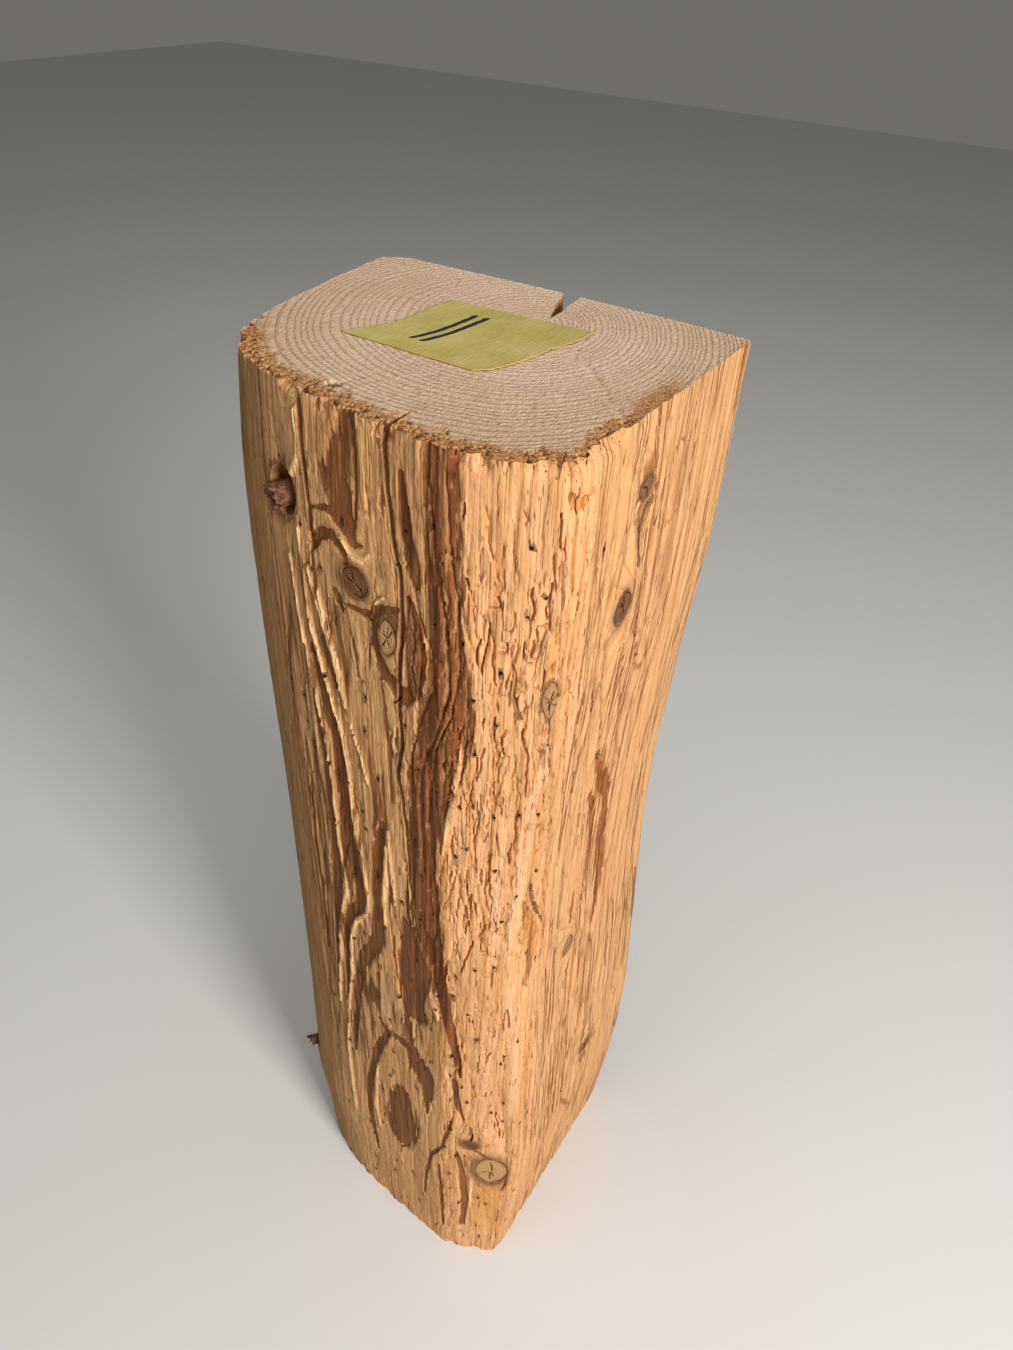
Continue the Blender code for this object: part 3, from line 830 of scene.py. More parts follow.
@dataclass(frozen=True)
class SideWood:
    """Aged softwood along the grain: grown surface, latewood, bast and worm-eaten sapwood."""

    pale: Colour = (0.665, 0.365, 0.160)
    warm: Colour = (0.735, 0.385, 0.165)
    stain: Colour = (0.400, 0.190, 0.070)
    crest: Colour = (0.930, 0.580, 0.285)
    latewood: Colour = (0.255, 0.090, 0.024)
    latewood_dark: Colour = (0.125, 0.042, 0.012)
    latewood_worn: Colour = (0.38, 0.17, 0.065)
    bast: Colour = (0.235, 0.070, 0.021)
    bast_dark: Colour = (0.088, 0.025, 0.008)
    bast_speck: Colour = (0.42, 0.20, 0.09)
    bast_strip: Colour = (0.56, 0.29, 0.12)
    sapwood: Colour = (0.745, 0.402, 0.186)
    sap_yellow: Colour = (0.640, 0.310, 0.112)
    pink: Colour = (0.760, 0.520, 0.340)
    line: Colour = (0.300, 0.112, 0.034)
    gold: Colour = (0.640, 0.320, 0.080)
    # painted shade in the sunk valleys between the ridges
    valley: Colour = (0.150, 0.052, 0.014)
    halo: Colour = (0.180, 0.074, 0.028)
    rot: Colour = (0.330, 0.100, 0.022)
    rot_dark: Colour = (0.12, 0.040, 0.013)
    torn: Colour = (0.600, 0.255, 0.070)
    # orange-brown dust with painted shade, for the worm channels and grooves
    channel: Colour = (0.470, 0.200, 0.066)
    # painted shade: near black for the deepest channels and for pinholes
    pit: Colour = (0.130, 0.050, 0.018)
    # painted shade: olive brown that darkens the left side, which faces away from the light
    olive: Colour = (0.190, 0.105, 0.028)
    rings: GrowthRings = GrowthRings()

    def crack(self, g: Graph, noise: NodeSocket, half: float) -> NodeSocket:
        """Thin lines where a noise passes its middle value.

        Args:
            g: The material's graph.
            noise: The noise.
            half: Half the lines' width, in the noise's own measure.

        Returns:
            1 on the lines and 0 away from them.
        """
        return g.step(g.math("ABSOLUTE", g.math("SUBTRACT", noise, 0.5)), half, half * 0.2)

    def build(self) -> Material:
        """Build the finish.

        Returns:
            The material.
        """
        g = Graph("aged_softwood_side")
        ring, _ = self.rings.build(g)
        ring = g.plus(ring, g.mark(Mark.SWIRL))
        phase = g.math("FRACT", ring)
        line = g.times(g.step(phase, 0.62, 0.93), g.step(phase, 1.0, 0.955))

        fibre = g.noise(g.along(1100, 26), 3.0, 0.6)
        streak = g.noise(g.along(300, 8, 3.0), 3.0, 0.6)
        thread = g.noise(g.along(230, 5.5, 7.0), 1.5, 0.5)
        band = g.noise(g.along(150, 3.5, 11.0), 1.5, 0.5)
        grooves = g.math("MAXIMUM", self.crack(g, thread, 0.017), self.crack(g, band, 0.013))
        grooves = g.times(grooves, g.mark(Mark.OPEN_GRAIN))
        patchy = g.step(g.noise(g.along(60, 12, 17.0), 1.0), 0.36, 0.50)
        grooves = g.times(grooves, patchy)
        cloud = g.noise(g.scaled((34, 34, 9)), 3.0, 0.5)
        speck = g.noise(g.scaled((520, 520, 330)), 2.0, 0.6)
        sawn = g.mark(Mark.SAWN)
        grown = g.math("SUBTRACT", 1.0, sawn)

        def share(value: object, amount: object) -> NodeSocket:
            """A mask times how much of it counts."""
            return g.times(value, amount, clamp=True)

        sap = g.step(g.plus(g.mark(Mark.SAPWOOD),
                            g.line(cloud, 0.6, -0.3)), 0.35, 0.75)
        base = g.mix(g.step(cloud, 0.38, 0.64), self.pale, self.warm)
        base = g.mix(sap, base, g.mix(g.step(streak, 0.42, 0.62), self.sapwood, self.sap_yellow))
        stained = g.step(g.plus(cloud, g.line(streak, 0.5, -0.25)), 0.44, 0.66)
        calm = g.line(sap, -0.55, 1.0)
        stained = share(stained, calm)
        base = g.mix(share(stained, g.line(grown, 0.38, 0.07)), base, self.stain)
        base = g.mix(share(share(g.step(streak, 0.48, 0.74), calm), 0.42), base, self.stain)
        base = g.mix(share(share(g.step(fibre, 0.47, 0.74), calm), 0.38), base,
                     (0.34, 0.155, 0.055))
        base = g.mix(share(g.step(fibre, 0.50, 0.28), 0.34), base, self.crest)
        base = g.mix(share(line, g.line(sawn, 0.20, 0.08)), base, self.line)
        gold = g.step(g.plus(g.mark(Mark.GOLD), cloud), 0.2, 0.9)
        base = g.mix(share(gold, 0.50), base, self.gold)
        base = g.mix(share(grooves, 0.85), base, self.line)
        # painted shade: the sunk valleys between the ridges are darkened
        base = g.mix(share(g.mark(Mark.VALLEY), 0.80), base, self.valley)
        base = g.mix(share(g.mark(Mark.RIDGE), 0.90), base, self.crest)
        base = g.mix(share(g.step(g.mark(Mark.PALE), -0.3, 0.7), 0.34), base, self.pink)

        edge = g.line(streak, 0.8, -0.4)
        late = g.plus(g.mark(Mark.LATEWOOD), edge)
        late_colour = g.mix(g.step(streak, 0.38, 0.66), self.latewood, self.latewood_dark)
        late_colour = g.mix(share(g.step(fibre, 0.5, 0.8), 0.35), late_colour, self.latewood_worn)
        base = g.mix(share(g.step(late, -0.75, 0.05), 0.42), base, self.stain)
        base = g.mix(share(g.step(late, -0.12, 0.16), 0.92), base, late_colour)
        bast = g.plus(g.mark(Mark.BAST), edge)
        bast_colour = g.mix(g.step(speck, 0.58, 0.70), self.bast, self.bast_speck)
        bast_colour = g.mix(g.step(streak, 0.46, 0.66), bast_colour, self.bast_dark)
        pale_strips = g.step(g.noise(g.along(420, 6, 5.0), 2.0), 0.56, 0.66)
        bast_colour = g.mix(share(pale_strips, 0.45), bast_colour, self.bast_strip)
        base = g.mix(share(g.step(bast, -0.5, 0.05), 0.40), base, self.stain)
        base = g.mix(share(g.step(bast, -0.06, 0.16), 0.93), base, bast_colour)

        base = g.mix(share(g.mark(Mark.LINE), g.line(streak, 0.7, 0.42)), base, self.line)
        rot = g.step(g.plus(g.mark(Mark.ROT), g.line(fibre, 1.2, -0.6)), -0.15, 0.30)
        base = g.mix(share(rot, 0.88), base, g.mix(g.step(streak, 0.44, 0.62), self.rot,
                                                   self.rot_dark))
        notch = g.step(g.plus(g.mark(Mark.NOTCH), g.line(fibre, 0.9, -0.45)),
                       -0.15, 0.30)
        torn = g.mix(g.step(fibre, 0.44, 0.60), self.torn, (0.24, 0.085, 0.026))
        base = g.mix(share(notch, 0.85), base, torn)
        halo = g.times(g.mark(Mark.HALO),
                       g.line(streak, 0.9, 0.45), clamp=True)
        base = g.mix(halo, base, self.halo)
        # painted shade: where the shade mark is, the left side is darkened towards olive brown
        base = g.mix(share(g.mark(Mark.SHADE), 0.66), base, self.olive)

        # painted shade: tiny dark dots and short dark dashes stand for the shade in pinholes and
        # small grooves
        tiny = g.step(g.dots(g.scaled((520, 520, 170))), 0.20, 0.10)
        base = g.mix(share(tiny, g.line(grown, 0.35, 0.15)), base, self.pit)
        dashes = g.step(g.noise(g.along(520, 70, 23.0), 2.0, 0.5), 0.66, 0.73)
        base = g.mix(share(dashes, g.line(sawn, -0.35, 0.75)), base, self.pit)
        # the sunk worm channels and grooves get brown dust with painted shade, and near-black
        # painted shade where deepest
        pit = g.mark(Mark.PIT)
        base = g.mix(share(g.step(pit, 0.15, 0.60), 0.55), base, self.channel)
        base = g.mix(share(g.step(pit, 0.55, 1.15), 0.70), base, self.pit)

        height = g.line(fibre, 0.5, g.times(streak, 0.7))
        height = g.math("SUBTRACT", height, g.times(line, 0.12))
        height = g.math("SUBTRACT", height, g.times(grooves, 0.55))
        height = g.math("SUBTRACT", height, g.times(dashes, 0.40))
        normal = g.bump(height, 0.0014, 1.0)
        normal = g.bump(speck, 0.00045, 0.9, normal)
        dense = g.math("MAXIMUM", g.step(late, -0.1, 0.15), g.step(bast, -0.1, 0.15))
        rough = g.line(dense, -0.16, 0.80)
        return g.finish(base, rough, normal, 0.10)


@dataclass(frozen=True)
class EndGrain:
    """The sawn ends: growth rings, fuzz from the saw and a crumbly, worm-eaten rim."""

    pale: Colour = (0.800, 0.590, 0.425)
    tan: Colour = (0.600, 0.380, 0.215)
    line: Colour = (0.290, 0.148, 0.066)
    crumb: Colour = (0.430, 0.180, 0.055)
    # painted shade in the ends' pits and pinholes
    pit: Colour = (0.150, 0.060, 0.022)
    saw_turn: float = 33.0          # degrees
    rings: GrowthRings = GrowthRings()

    def build(self) -> Material:
        """Build the finish.

        Returns:
            The material.
        """
        g = Graph("aged_softwood_end")
        ring, facing = self.rings.build(g)
        phase = g.math("FRACT", ring)
        late = g.step(phase, 0.50, 0.93)
        line = g.times(late, g.step(phase, 1.0, 0.95))
        cloud = g.noise(g.scaled((24, 24, 24)), 2.0)
        fuzz = g.noise(g.scaled((1500, 420, 600), turn=self.saw_turn), 3.0, 0.65)
        saw = g.noise(g.scaled((30, 900, 30), turn=self.saw_turn), 2.0)
        grain = g.noise(g.scaled((620, 620, 620)), 2.0, 0.6)
        ray = g.noise(g.scaled((1, 1, 1)), 1.0)
        spokes = g.add("ShaderNodeCombineXYZ")
        g.put(spokes.inputs[0], g.times(facing, 70.0))
        g.put(spokes.inputs[1], g.times(ring, 0.35))
        g.put(spokes.inputs[2], ray)
        ray = g.noise(spokes.outputs[0], 2.0)
        outer = g.step(ring, 16.0, 44.0)
        base = g.mix(g.times(g.step(cloud, 0.35, 0.72), 0.45), self.pale, self.tan)
        base = g.mix(g.times(outer, 0.50), base, self.tan)
        strength = g.line(outer, 0.25, 0.38)
        base = g.mix(g.times(line, strength), base, self.line)
        base = g.mix(g.times(g.step(fuzz, 0.48, 0.72), 0.52), base, (0.30, 0.17, 0.090))
        base = g.mix(g.times(g.step(fuzz, 0.50, 0.25), 0.35), base, (0.90, 0.74, 0.58))
        base = g.mix(g.times(g.step(saw, 0.52, 0.70), 0.14), base, (0.85, 0.66, 0.48))
        base = g.mix(g.times(g.step(ray, 0.55, 0.75), 0.16), base, (0.82, 0.62, 0.43))
        rim = g.mark(Mark.RIM)
        crumb = g.step(g.plus(rim, g.line(grain, 1.2, -0.6)), 0.15, 0.80)
        base = g.mix(g.times(g.step(rim, 0.0, 0.6), 0.45), base, self.tan)
        base = g.mix(g.times(crumb, 0.88), base, self.crumb)
        # painted highlights and painted shade: light and dark grit flecks on the crumbly rim stand
        # in for its fine relief
        grit = g.noise(g.scaled((1300, 1300, 1300)), 2.0, 0.6)
        base = g.mix(g.times(crumb, g.step(grit, 0.50, 0.34)), base, (0.74, 0.40, 0.15))
        base = g.mix(g.times(crumb, g.step(grit, 0.54, 0.66)), base, self.pit)
        # painted shade: the sunk pits and holes on the ends are darkened, and tiny dark dots near
        # the rim stand for pinholes
        deep = g.step(g.mark(Mark.PIT), 0.12, 0.85)
        base = g.mix(g.times(deep, 0.85), base, self.pit)
        tiny = g.step(g.dots(g.scaled((300, 300, 300))), 0.22, 0.12)
        near = g.step(rim, 0.0, 0.35)
        base = g.mix(g.times(tiny, g.line(near, 0.75, 0.10)), base,
                     self.pit)
        height = g.line(line, 0.20, g.times(fuzz, 0.9))
        normal = g.bump(height, 0.0009, 1.0)
        normal = g.bump(grain, 0.0007, 0.9, normal)
        return g.finish(base, 0.86, normal, 0.2)


@dataclass(frozen=True)
class RoughWood:
    """Torn or bored wood: the walls of splits and worm holes, and the broken branches."""

    name: str
    light: Colour
    dark: Colour
    fleck: Colour
    grain: tuple[float, float, float] = (300, 300, 60)

    def build(self) -> Material:
        """Build the finish.

        Returns:
            The material.
        """
        g = Graph(self.name)
        streak = g.noise(g.scaled(self.grain), 3.0, 0.6)
        speck = g.noise(g.scaled((900, 900, 900)), 2.0, 0.6)
        base = g.mix(g.step(streak, 0.35, 0.65), self.light, self.dark)
        base = g.mix(g.times(g.step(speck, 0.55, 0.75), 0.6), base, self.fleck)
        normal = g.bump(g.plus(streak, g.times(speck, 0.5)), 0.0006, 1.0)
        return g.finish(base, 0.85, normal, 0.2)


@dataclass(frozen=True)
class KnotFace:
    """Dense knot wood: fine rings, a dark edge and drying splits that spread from its pith."""

    dark: Colour = (0.075, 0.028, 0.011)
    brown: Colour = (0.215, 0.090, 0.037)
    pale: Colour = (0.540, 0.310, 0.130)
    pale_ring: Colour = (0.420, 0.225, 0.090)
    # dark ring round the knot's edge, and painted shade in its splits
    edge: Colour = (0.070, 0.030, 0.014)

    def build(self) -> Material:
        """Build the finish.

        Returns:
            The material.
        """
        g = Graph("knot_wood")
        out, turn, pale = g.mark("knot_out"), g.mark("knot_turn"), g.mark("knot_pale")
        speck = g.noise(g.scaled((700, 700, 700)), 3.0, 0.6)
        wave = g.noise(g.scaled((180, 180, 180)), 2.0)
        rings = g.math("FRACT", g.line(out, 5.5, wave))
        base = g.mix(g.step(rings, 0.3, 0.95), self.brown, self.dark)
        light = g.mix(g.step(rings, 0.3, 0.95), self.pale, self.pale_ring)
        base = g.mix(pale, base, light)
        base = g.mix(g.times(g.step(speck, 0.50, 0.75), 0.3), base, (0.34, 0.18, 0.09))
        # painted shade: the drying splits, which are also sunk, are coloured near black
        gap = g.times(turn, g.line(pale, -0.35, 0.95))
        base = g.mix(gap, base, self.edge)
        rim = g.step(g.line(wave, 0.5, out), 1.08, 1.28)
        base = g.mix(g.times(rim, g.line(pale, -0.5, 0.9)), base,
                     self.edge)
        normal = g.bump(g.line(rings, 0.4, speck), 0.0004, 0.9)
        return g.finish(base, 0.68, normal, 0.2)


@dataclass(frozen=True)
class PaperTape:
    """Creped, olive-yellow paper tape."""

    colour: Colour = (0.500, 0.395, 0.105)
    thin: Colour = (0.585, 0.475, 0.160)
    ink: Colour = (0.020, 0.020, 0.022)

    def build(self) -> Material:
        """Build the finish.

        Returns:
            The material.
        """
        g = Graph("paper_tape")
        crepe = g.noise(g.scaled((1500, 170, 400), turn=4), 3.0, 0.6)
        cloud = g.noise(g.scaled((75, 75, 75)), 3.0)
        base = g.mix(g.step(cloud, 0.35, 0.7), self.colour, self.thin)
        base = g.mix(g.times(g.step(crepe, 0.5, 0.72), 0.22), base, (0.36, 0.28, 0.06))
        ink = g.step(g.plus(g.mark("ink"), g.line(crepe, 0.5, -0.25)),
                     0.35, 0.60)
        base = g.mix(ink, base, self.ink)
        normal = g.bump(crepe, 0.00022, 0.8)
        normal = g.bump(cloud, 0.0008, 0.5, normal)
        return g.finish(base, 0.58, normal, 0.35)


@dataclass(frozen=True)
class Floor:
    """Plain pale floor."""

    colour: Colour = (0.72, 0.72, 0.70)

    def build(self) -> Material:
        """Build the finish.

        Returns:
            The material.
        """
        g = Graph("pale_floor")
        return g.finish(self.colour, 0.9, None, 0.1)


# ======================================================================= cutters
def blade(name: str, mouths: np.ndarray, tips: np.ndarray, sides: np.ndarray,
          halves: np.ndarray, rough: float, seed: int) -> Object:
    """A rough-walled wedge that cuts a split into the wood.

    Args:
        name: Name of the new object.
        mouths: Points along the middle of the split's mouth.
        tips: The deepest point below each of them.
        sides: Unit directions across the split.
        halves: Half widths of the mouth, in metres.
        rough: How far the walls wander, in metres.
        seed: Picks the roughness.

    Returns:
        The closed cutter.
    """
    rng = np.random.default_rng(seed)
    count, rows = len(mouths), 6
    kernel = np.array([1.0, 2.0, 3.0, 2.0, 1.0]) / 9

    def smoothed(values: np.ndarray) -> np.ndarray:
        """Random rows, smoothed along the split."""
        return np.stack([np.convolve(row, kernel, "same") for row in values])

    sway = smoothed(rng.uniform(-1, 1, (rows, count))) * rough
    swell = np.abs(smoothed(rng.uniform(-1, 1, (2, rows, count)).reshape(-1, count))) * rough
    out = mouths - tips
    out /= np.linalg.norm(out, axis=1, keepdims=True)
    left, right = [], []
    for j in range(rows):
        depth = j / rows
        middle = mouths + (tips - mouths) * depth + sides * sway[j][:, None] * min(1, j)
        half = halves * (1 - depth) ** 0.75
        left.append(middle - sides * (half + swell[j])[:, None])
        right.append(middle + sides * (half + swell[rows + j])[:, None])
    lift = out * 0.0025
    around = [left[0] + lift, *left, tips, *reversed(right), right[0] + lift]
    points = np.stack(around, 1).reshape(-1, 3)
    mesh = mesh_from(name, points, ring_faces(count, len(around)))
    turn_faces_out(mesh)
    mesh.polygons.foreach_set("material_index", np.full(len(mesh.polygons), TORN))
    return new_object(name, mesh)


def tube_along(name: str, origin: np.ndarray, axis: np.ndarray, side: np.ndarray,
               stations: list[tuple[float, float, float]], around: int, rough: float,
               seed: int, outline: Callable | None = None,
               drift: tuple[float, float] = (0.0, 0.0)) -> Object:
    """A closed, slightly rough tube of changing size along a straight axis.

    Args:
        name: Name of the new object.
        origin: Where the axis starts.
        axis: Its unit direction.
        side: Unit direction of the tube's width.
        stations: Distance along the axis, half width and half height of each ring, in metres.
        around: Points round each ring.
        rough: How far the rings wander, as a share of their size.
        seed: Picks the roughness.
        outline: Gives the rings' shape from directions; round if left out.
        drift: How far the mouth sits sideways and up from the axis, in metres.

    Returns:
        The closed tube.
    """
    rng = np.random.default_rng(seed)
    up = np.cross(axis, side)
    turn = np.linspace(0, 2 * np.pi, around, endpoint=False)
    lumps = sum(rng.uniform(-1, 1) * np.cos(n * turn + rng.uniform(0, 6.3)) for n in (2, 3, 5, 7))
    shape = 1.0 if outline is None else outline(turn)
    mouth = side * drift[0] + up * drift[1]
    first = min(distance for distance, _, _ in stations)
    rings = []
    for distance, width, height in stations:
        share = shape * (1 + rough * (lumps / 2 + rng.uniform(-0.6, 0.6, around) * 0.4))
        middle = origin + axis * distance + mouth * max(0.0, 1 - (distance / (0.35 * first)) ** 2)
        rings.append(middle + np.outer(np.cos(turn) * width * share, side)
                     + np.outer(np.sin(turn) * height * share, up))
    mesh = mesh_from(name, np.concatenate(rings), ring_faces(len(rings), around))
    turn_faces_out(mesh)
    mesh.polygons.foreach_set("material_index", np.full(len(mesh.polygons), TORN))
    return new_object(name, mesh)


# ======================================================================= the timber
@dataclass(frozen=True)
class Split:
    """A drying split that follows a line on the skin."""

    path: tuple[Station, ...]       # stations
    width: tuple[float, ...]        # mm, at each
    depth: tuple[float, ...]        # mm, at each


@dataclass
class TimberBody:
    """The post: a worn skin and two sawn ends, split by drying and bored by worms."""

    skin: Skin
    row_step: float = 0.9                       # mm
    fine_step: float = 0.42                     # mm, where the worms have been
    middle_step: float = 0.65                   # mm, on the rest of the grown surface
    coarse_step: float = 1.5                    # mm
    triangles: int = 150_000
    rim_rows: int = 18
    rim_step: float = 0.7                       # mm
    core_rows: int = 22
    channels: int = 480
    channel_seed: int = 11
    check_width: float = 0.0074
    check_lean: float = -0.0060
    check_stop: float = 0.0060
    back: float = 0.0335
    splits: tuple[Split, ...] = (
        Split(((134.7, 493), (135.6, 474), (137.4, 458), (140.1, 444), (139.6, 420), (137.9, 397),
               (139.0, 377), (136.7, 364), (138.0, 353), (139.4, 330), (141.0, 300), (142.0, 266)),
              (2.6, 2.4, 2.3, 2.2, 2.2, 2.3, 2.4, 2.2, 2.3, 2.1, 1.5, 0.5),
              (14, 14, 14, 13, 12, 11, 10, 9, 8, 7, 5, 3)),
        Split(((100.6, 493), (102.0, 466), (103.3, 448), (102.2, 433)),
              (2.7, 2.5, 2.3, 0.9), (13, 13, 11, 5)),
        Split(((79.0, 493), (80.0, 476), (79.5, 466), (80.5, 456), (80.0, 449)),
              (0.5, 0.6, 0.5, 0.4, 0.3), (4, 4, 4, 3, 2)),
        Split(((243.0, 460), (238.2, 458.5), (236.0, 452), (237.2, 445), (239.8, 438)),
              (0.4, 1.1, 1.5, 0.9, 0.3), (2, 5, 6, 5, 2)),
        Split(((191.8, 322), (194.6, 311), (198.0, 300), (202.0, 292), (206.0, 282)),
              (0.8, 2.6, 1.8, 1.0, 0.4), (2, 5, 4, 3, 2)),
        Split(((197.5, 272), (196.6, 262), (197.2, 250)), (0.5, 1.6, 0.4), (2, 4, 2)),
        Split(((171.6, 142), (172.6, 134), (172.0, 128)), (0.5, 1.3, 0.8), (3, 5, 4)),
        Split(((191.5, 406), (195.0, 392), (197.0, 378)), (0.3, 0.7, 0.3), (2, 3, 2)),
        Split(((177.0, 428), (179.0, 421), (178.6, 414), (180.8, 407)), (0.5, 1.5, 1.8, 0.5),
              (1, 2, 2, 1)),
        Split(((236.2, 354), (239.5, 348), (241.0, 352)), (0.6, 1.5, 0.6), (2, 4, 2)),
        Split(((214.0, 410), (212.0, 375), (213.5, 330)), (0.5, 0.9, 0.4), (2, 4, 2)),
        Split(((31.0, 493), (33.0, 440), (30.0, 380)), (1.0, 0.9, 0.3), (8, 7, 2)),
        Split(((300.0, 220), (302.0, 160), (299.0, 90)), (0.4, 0.8, 0.3), (3, 6, 2)),
    )
    marks: dict[str, np.ndarray] = field(default_factory=dict)
    kept: np.ndarray = field(default_factory=lambda: np.zeros(0, bool))
    loose: list[Object] = field(default_factory=list)

    # ------------------------------------------------------------------- grid
    def columns(self) -> np.ndarray:
        """Runs of the grid's columns, closer together where the surface is finer."""
        edges = [(-165.0, self.coarse_step), (-146.0, self.middle_step), (-72.0, self.fine_step),
                 (-46.0, self.middle_step), (-24.0, self.coarse_step)]
        stops = [float(self.skin.run(facing)) for facing, _ in edges] + [self.skin.girth]
        stops[0] = 0.0
        parts = []
        for (_, step), start, stop in zip(edges, stops, stops[1:]):
            parts.append(np.linspace(start, stop, math.ceil((stop - start) / step), False))
        return np.concatenate(parts)

    def rows(self) -> np.ndarray:
        """Heights of the grid's rows."""
        top = self.skin.section.height / MM
        return np.linspace(0, top, round(top / self.row_step) + 1)

    # ------------------------------------------------------------------- marks and relief
    def worm_channels(self, runs: np.ndarray, highs: np.ndarray) -> np.ndarray:
        """Depths, in millimetres, of the meandering channels that worms left open.

        Args:
            runs: The grid's runs.
            highs: The grid's heights.

        Returns:
            The depth at each crossing.
        """
        rng = np.random.default_rng(self.channel_seed)
        depth = np.zeros((len(runs), len(highs)))
        for _ in range(self.channels):
            upper = rng.random() < 0.78
            high = rng.uniform(285, 478) if upper else rng.uniform(40, 285)
            run = rng.uniform(156, 207) if rng.random() < 0.88 else rng.uniform(90, 156)
            length = rng.uniform(3, 11) if rng.random() < 0.8 else rng.uniform(11, 26)
            points = max(3, round(length / 2.2))
            sway = np.cumsum(rng.uniform(-0.75, 0.75, points))
            slope = rng.uniform(-0.12, 0.12)
            path = tuple((run + sway[i] + slope * i * 3, high - length * i / (points - 1))
                         for i in range(points))
            if length < 11 and rng.random() < 0.6:
                points += 1
                aside = rng.uniform(1.6, 3.8) * rng.choice((-1, 1))
                path += ((path[-1][0] + aside, path[-1][1] + rng.uniform(-0.9, 0.9)),)
            half = tuple(rng.uniform(0.26, 0.62, points))
            dip = rng.uniform(0.45, 0.85) if rng.random() < 0.7 else rng.uniform(0.85, 1.4)
            inside = Stroke(path, half).field(runs, highs)
            depth = np.maximum(depth, dip * smooth_step(-0.15, 0.35, inside))
        return depth

    def lay_marks(self, runs: np.ndarray, highs: np.ndarray) -> np.ndarray:
        """Work out the skin's marks and how far its surface is sunk.

        Args:
            runs: The grid's runs.
            highs: The grid's heights.

        Returns:
            The depth below the sound surface at each crossing, in millimetres.
        """
        run, high = np.meshgrid(runs, highs, indexing="ij")

        def lumps(cell: Station, seed: int) -> np.ndarray:
            """Noise over the grid."""
            return self.skin.noise(run, high, cell, seed)

        bent = self.grain_run(run, high)

        def grain(cell: Station, seed: int) -> np.ndarray:
            """Noise along the grain, which parts round the knots."""
            return self.skin.noise(bent, high, cell, seed)

        wane = between(66, 78, 206, 216, run)
        ragged = 0.34 * lumps((1.7, 17), 21) + 0.20 * lumps((0.9, 6), 22)
        late = joined_field(LATEWOOD, runs, highs) + ragged
        front = between(78, 90, 150, 158, run)
        front = front * smooth_step(130, 230, high) * (1 - smooth_step(425, 450, high))
        streaks = 1.7 * grain((3.2, 46), 41) + 0.7 * grain((1.3, 16), 42) - 0.62
        stained = np.maximum(late, streaks * front - 1.2 * (1 - front))
        bast = joined_field(BAST, runs, highs) + ragged
        groove = joined_field(BAST_GROOVES, runs, highs) + ragged
        rot = joined_field(ROT, runs, highs) + ragged
        pale = joined_field(PALE, runs, highs) + 1.5 * ragged
        notch = joined_field(NOTCH, runs, highs) + ragged
        ridge = joined_field(RIDGES, runs, highs) + 0.6 * ragged
        lines = joined_field(RIGHT_LINES, runs, highs) + 0.6 * ragged
        ovals = joined_field(RIGHT_OVALS, runs, highs) + 0.4 * ragged
        sap = between(151, 160, 203, 219, run)

        right = between(200, 216, 300, 330, run)
        rough = 0.13 * grain((1.3, 18), 1) + 0.10 * lumps((1.3, 5), 2)
        depth = 0.28 + (1 - 0.5 * sap - 0.6 * right) * rough
        depth += 0.30 * lumps((13, 60), 3) + 0.30 + 0.55 * wane * (1 - sap)
        crest = smooth_step(0.02, 0.50, ridge)
        late_patch = smooth_step(-0.06, 0.06, late) * (wane + 0.3 * (1 - wane))
        lip = np.exp(-((late + 0.40) / 0.22) ** 2) * wane
        depth += 0.60 * late_patch - 0.18 * lip - 0.75 * crest
        bast_band = smooth_step(-0.10, 0.15, bast)
        depth += bast_band * (0.30 + 0.45 * lumps((2.2, 60), 4))
        depth += 1.2 * smooth_step(-0.2, 0.6, groove) - 0.35 * np.exp(-((bast + 0.2) / 0.12) ** 2)
        # flutes and valleys: sunk grooves on the left front, which the finish also darkens as
        # painted shade
        flutes = (between(74, 84, 112, 122, run)
                  * smooth_step(90, 160, high) * (1 - smooth_step(425, 445, high)))
        valley = flutes * (1 - crest) * np.clip(1 - 2.6 * np.abs(lumps((3.4, 80), 5)), 0, 1) ** 1.5
        depth += 0.70 * valley
        depth += wane * 0.40 * np.clip(1 - 5 * np.abs(lumps((6.0, 70), 6)), 0, 1) ** 2
        fine = np.clip(1 - 5.0 * np.abs(grain((2.3, 130), 7)), 0, 1) ** 1.5
        wide = np.clip(1 - 5.5 * np.abs(grain((5.0, 200), 17)), 0, 1) ** 1.5
        grooves = (right + 0.3 * (1 - wane) * (1 - right)) * np.maximum(
            fine * smooth_step(-0.35, 0.35, grain((14, 70), 18)), wide)
        depth += 0.50 * grooves
        depth += sap * (0.10 * lumps((1.4, 3.4), 8) + 0.08 * lumps((2.6, 9), 9))
        steps = np.floor(2.2 * lumps((6, 14), 15) + 0.6 * ragged)
        depth += sap * 0.17 * steps
        worm = self.worm_channels(runs, highs)
        depth += worm
        depth += smooth_step(-0.2, 0.5, rot) * (0.70 + 0.8 * lumps((1.0, 9), 10))
        depth += smooth_step(-0.15, 0.5, notch) * (0.95 + 0.7 * lumps((0.9, 12), 11))
        depth += 0.75 * smooth_step(-0.1, 0.5, lines)

        weak = (between(12, 40, 205, 240, run) * 0.95 + 0.05)
        crumble = weak * smooth_step(-0.25, 0.55, lumps((5.5, 300), 12) + 0.5 * lumps((1.8, 3), 13))
        depth += 2.6 * crumble * smooth_step(483.5, 490, high) ** 1.6
        foot = smooth_step(-0.1, 0.6, lumps((7, 9), 14))
        depth += 1.6 * foot * (1 - smooth_step(0, 5.5, high)) * (0.3 + 0.7 * wane)

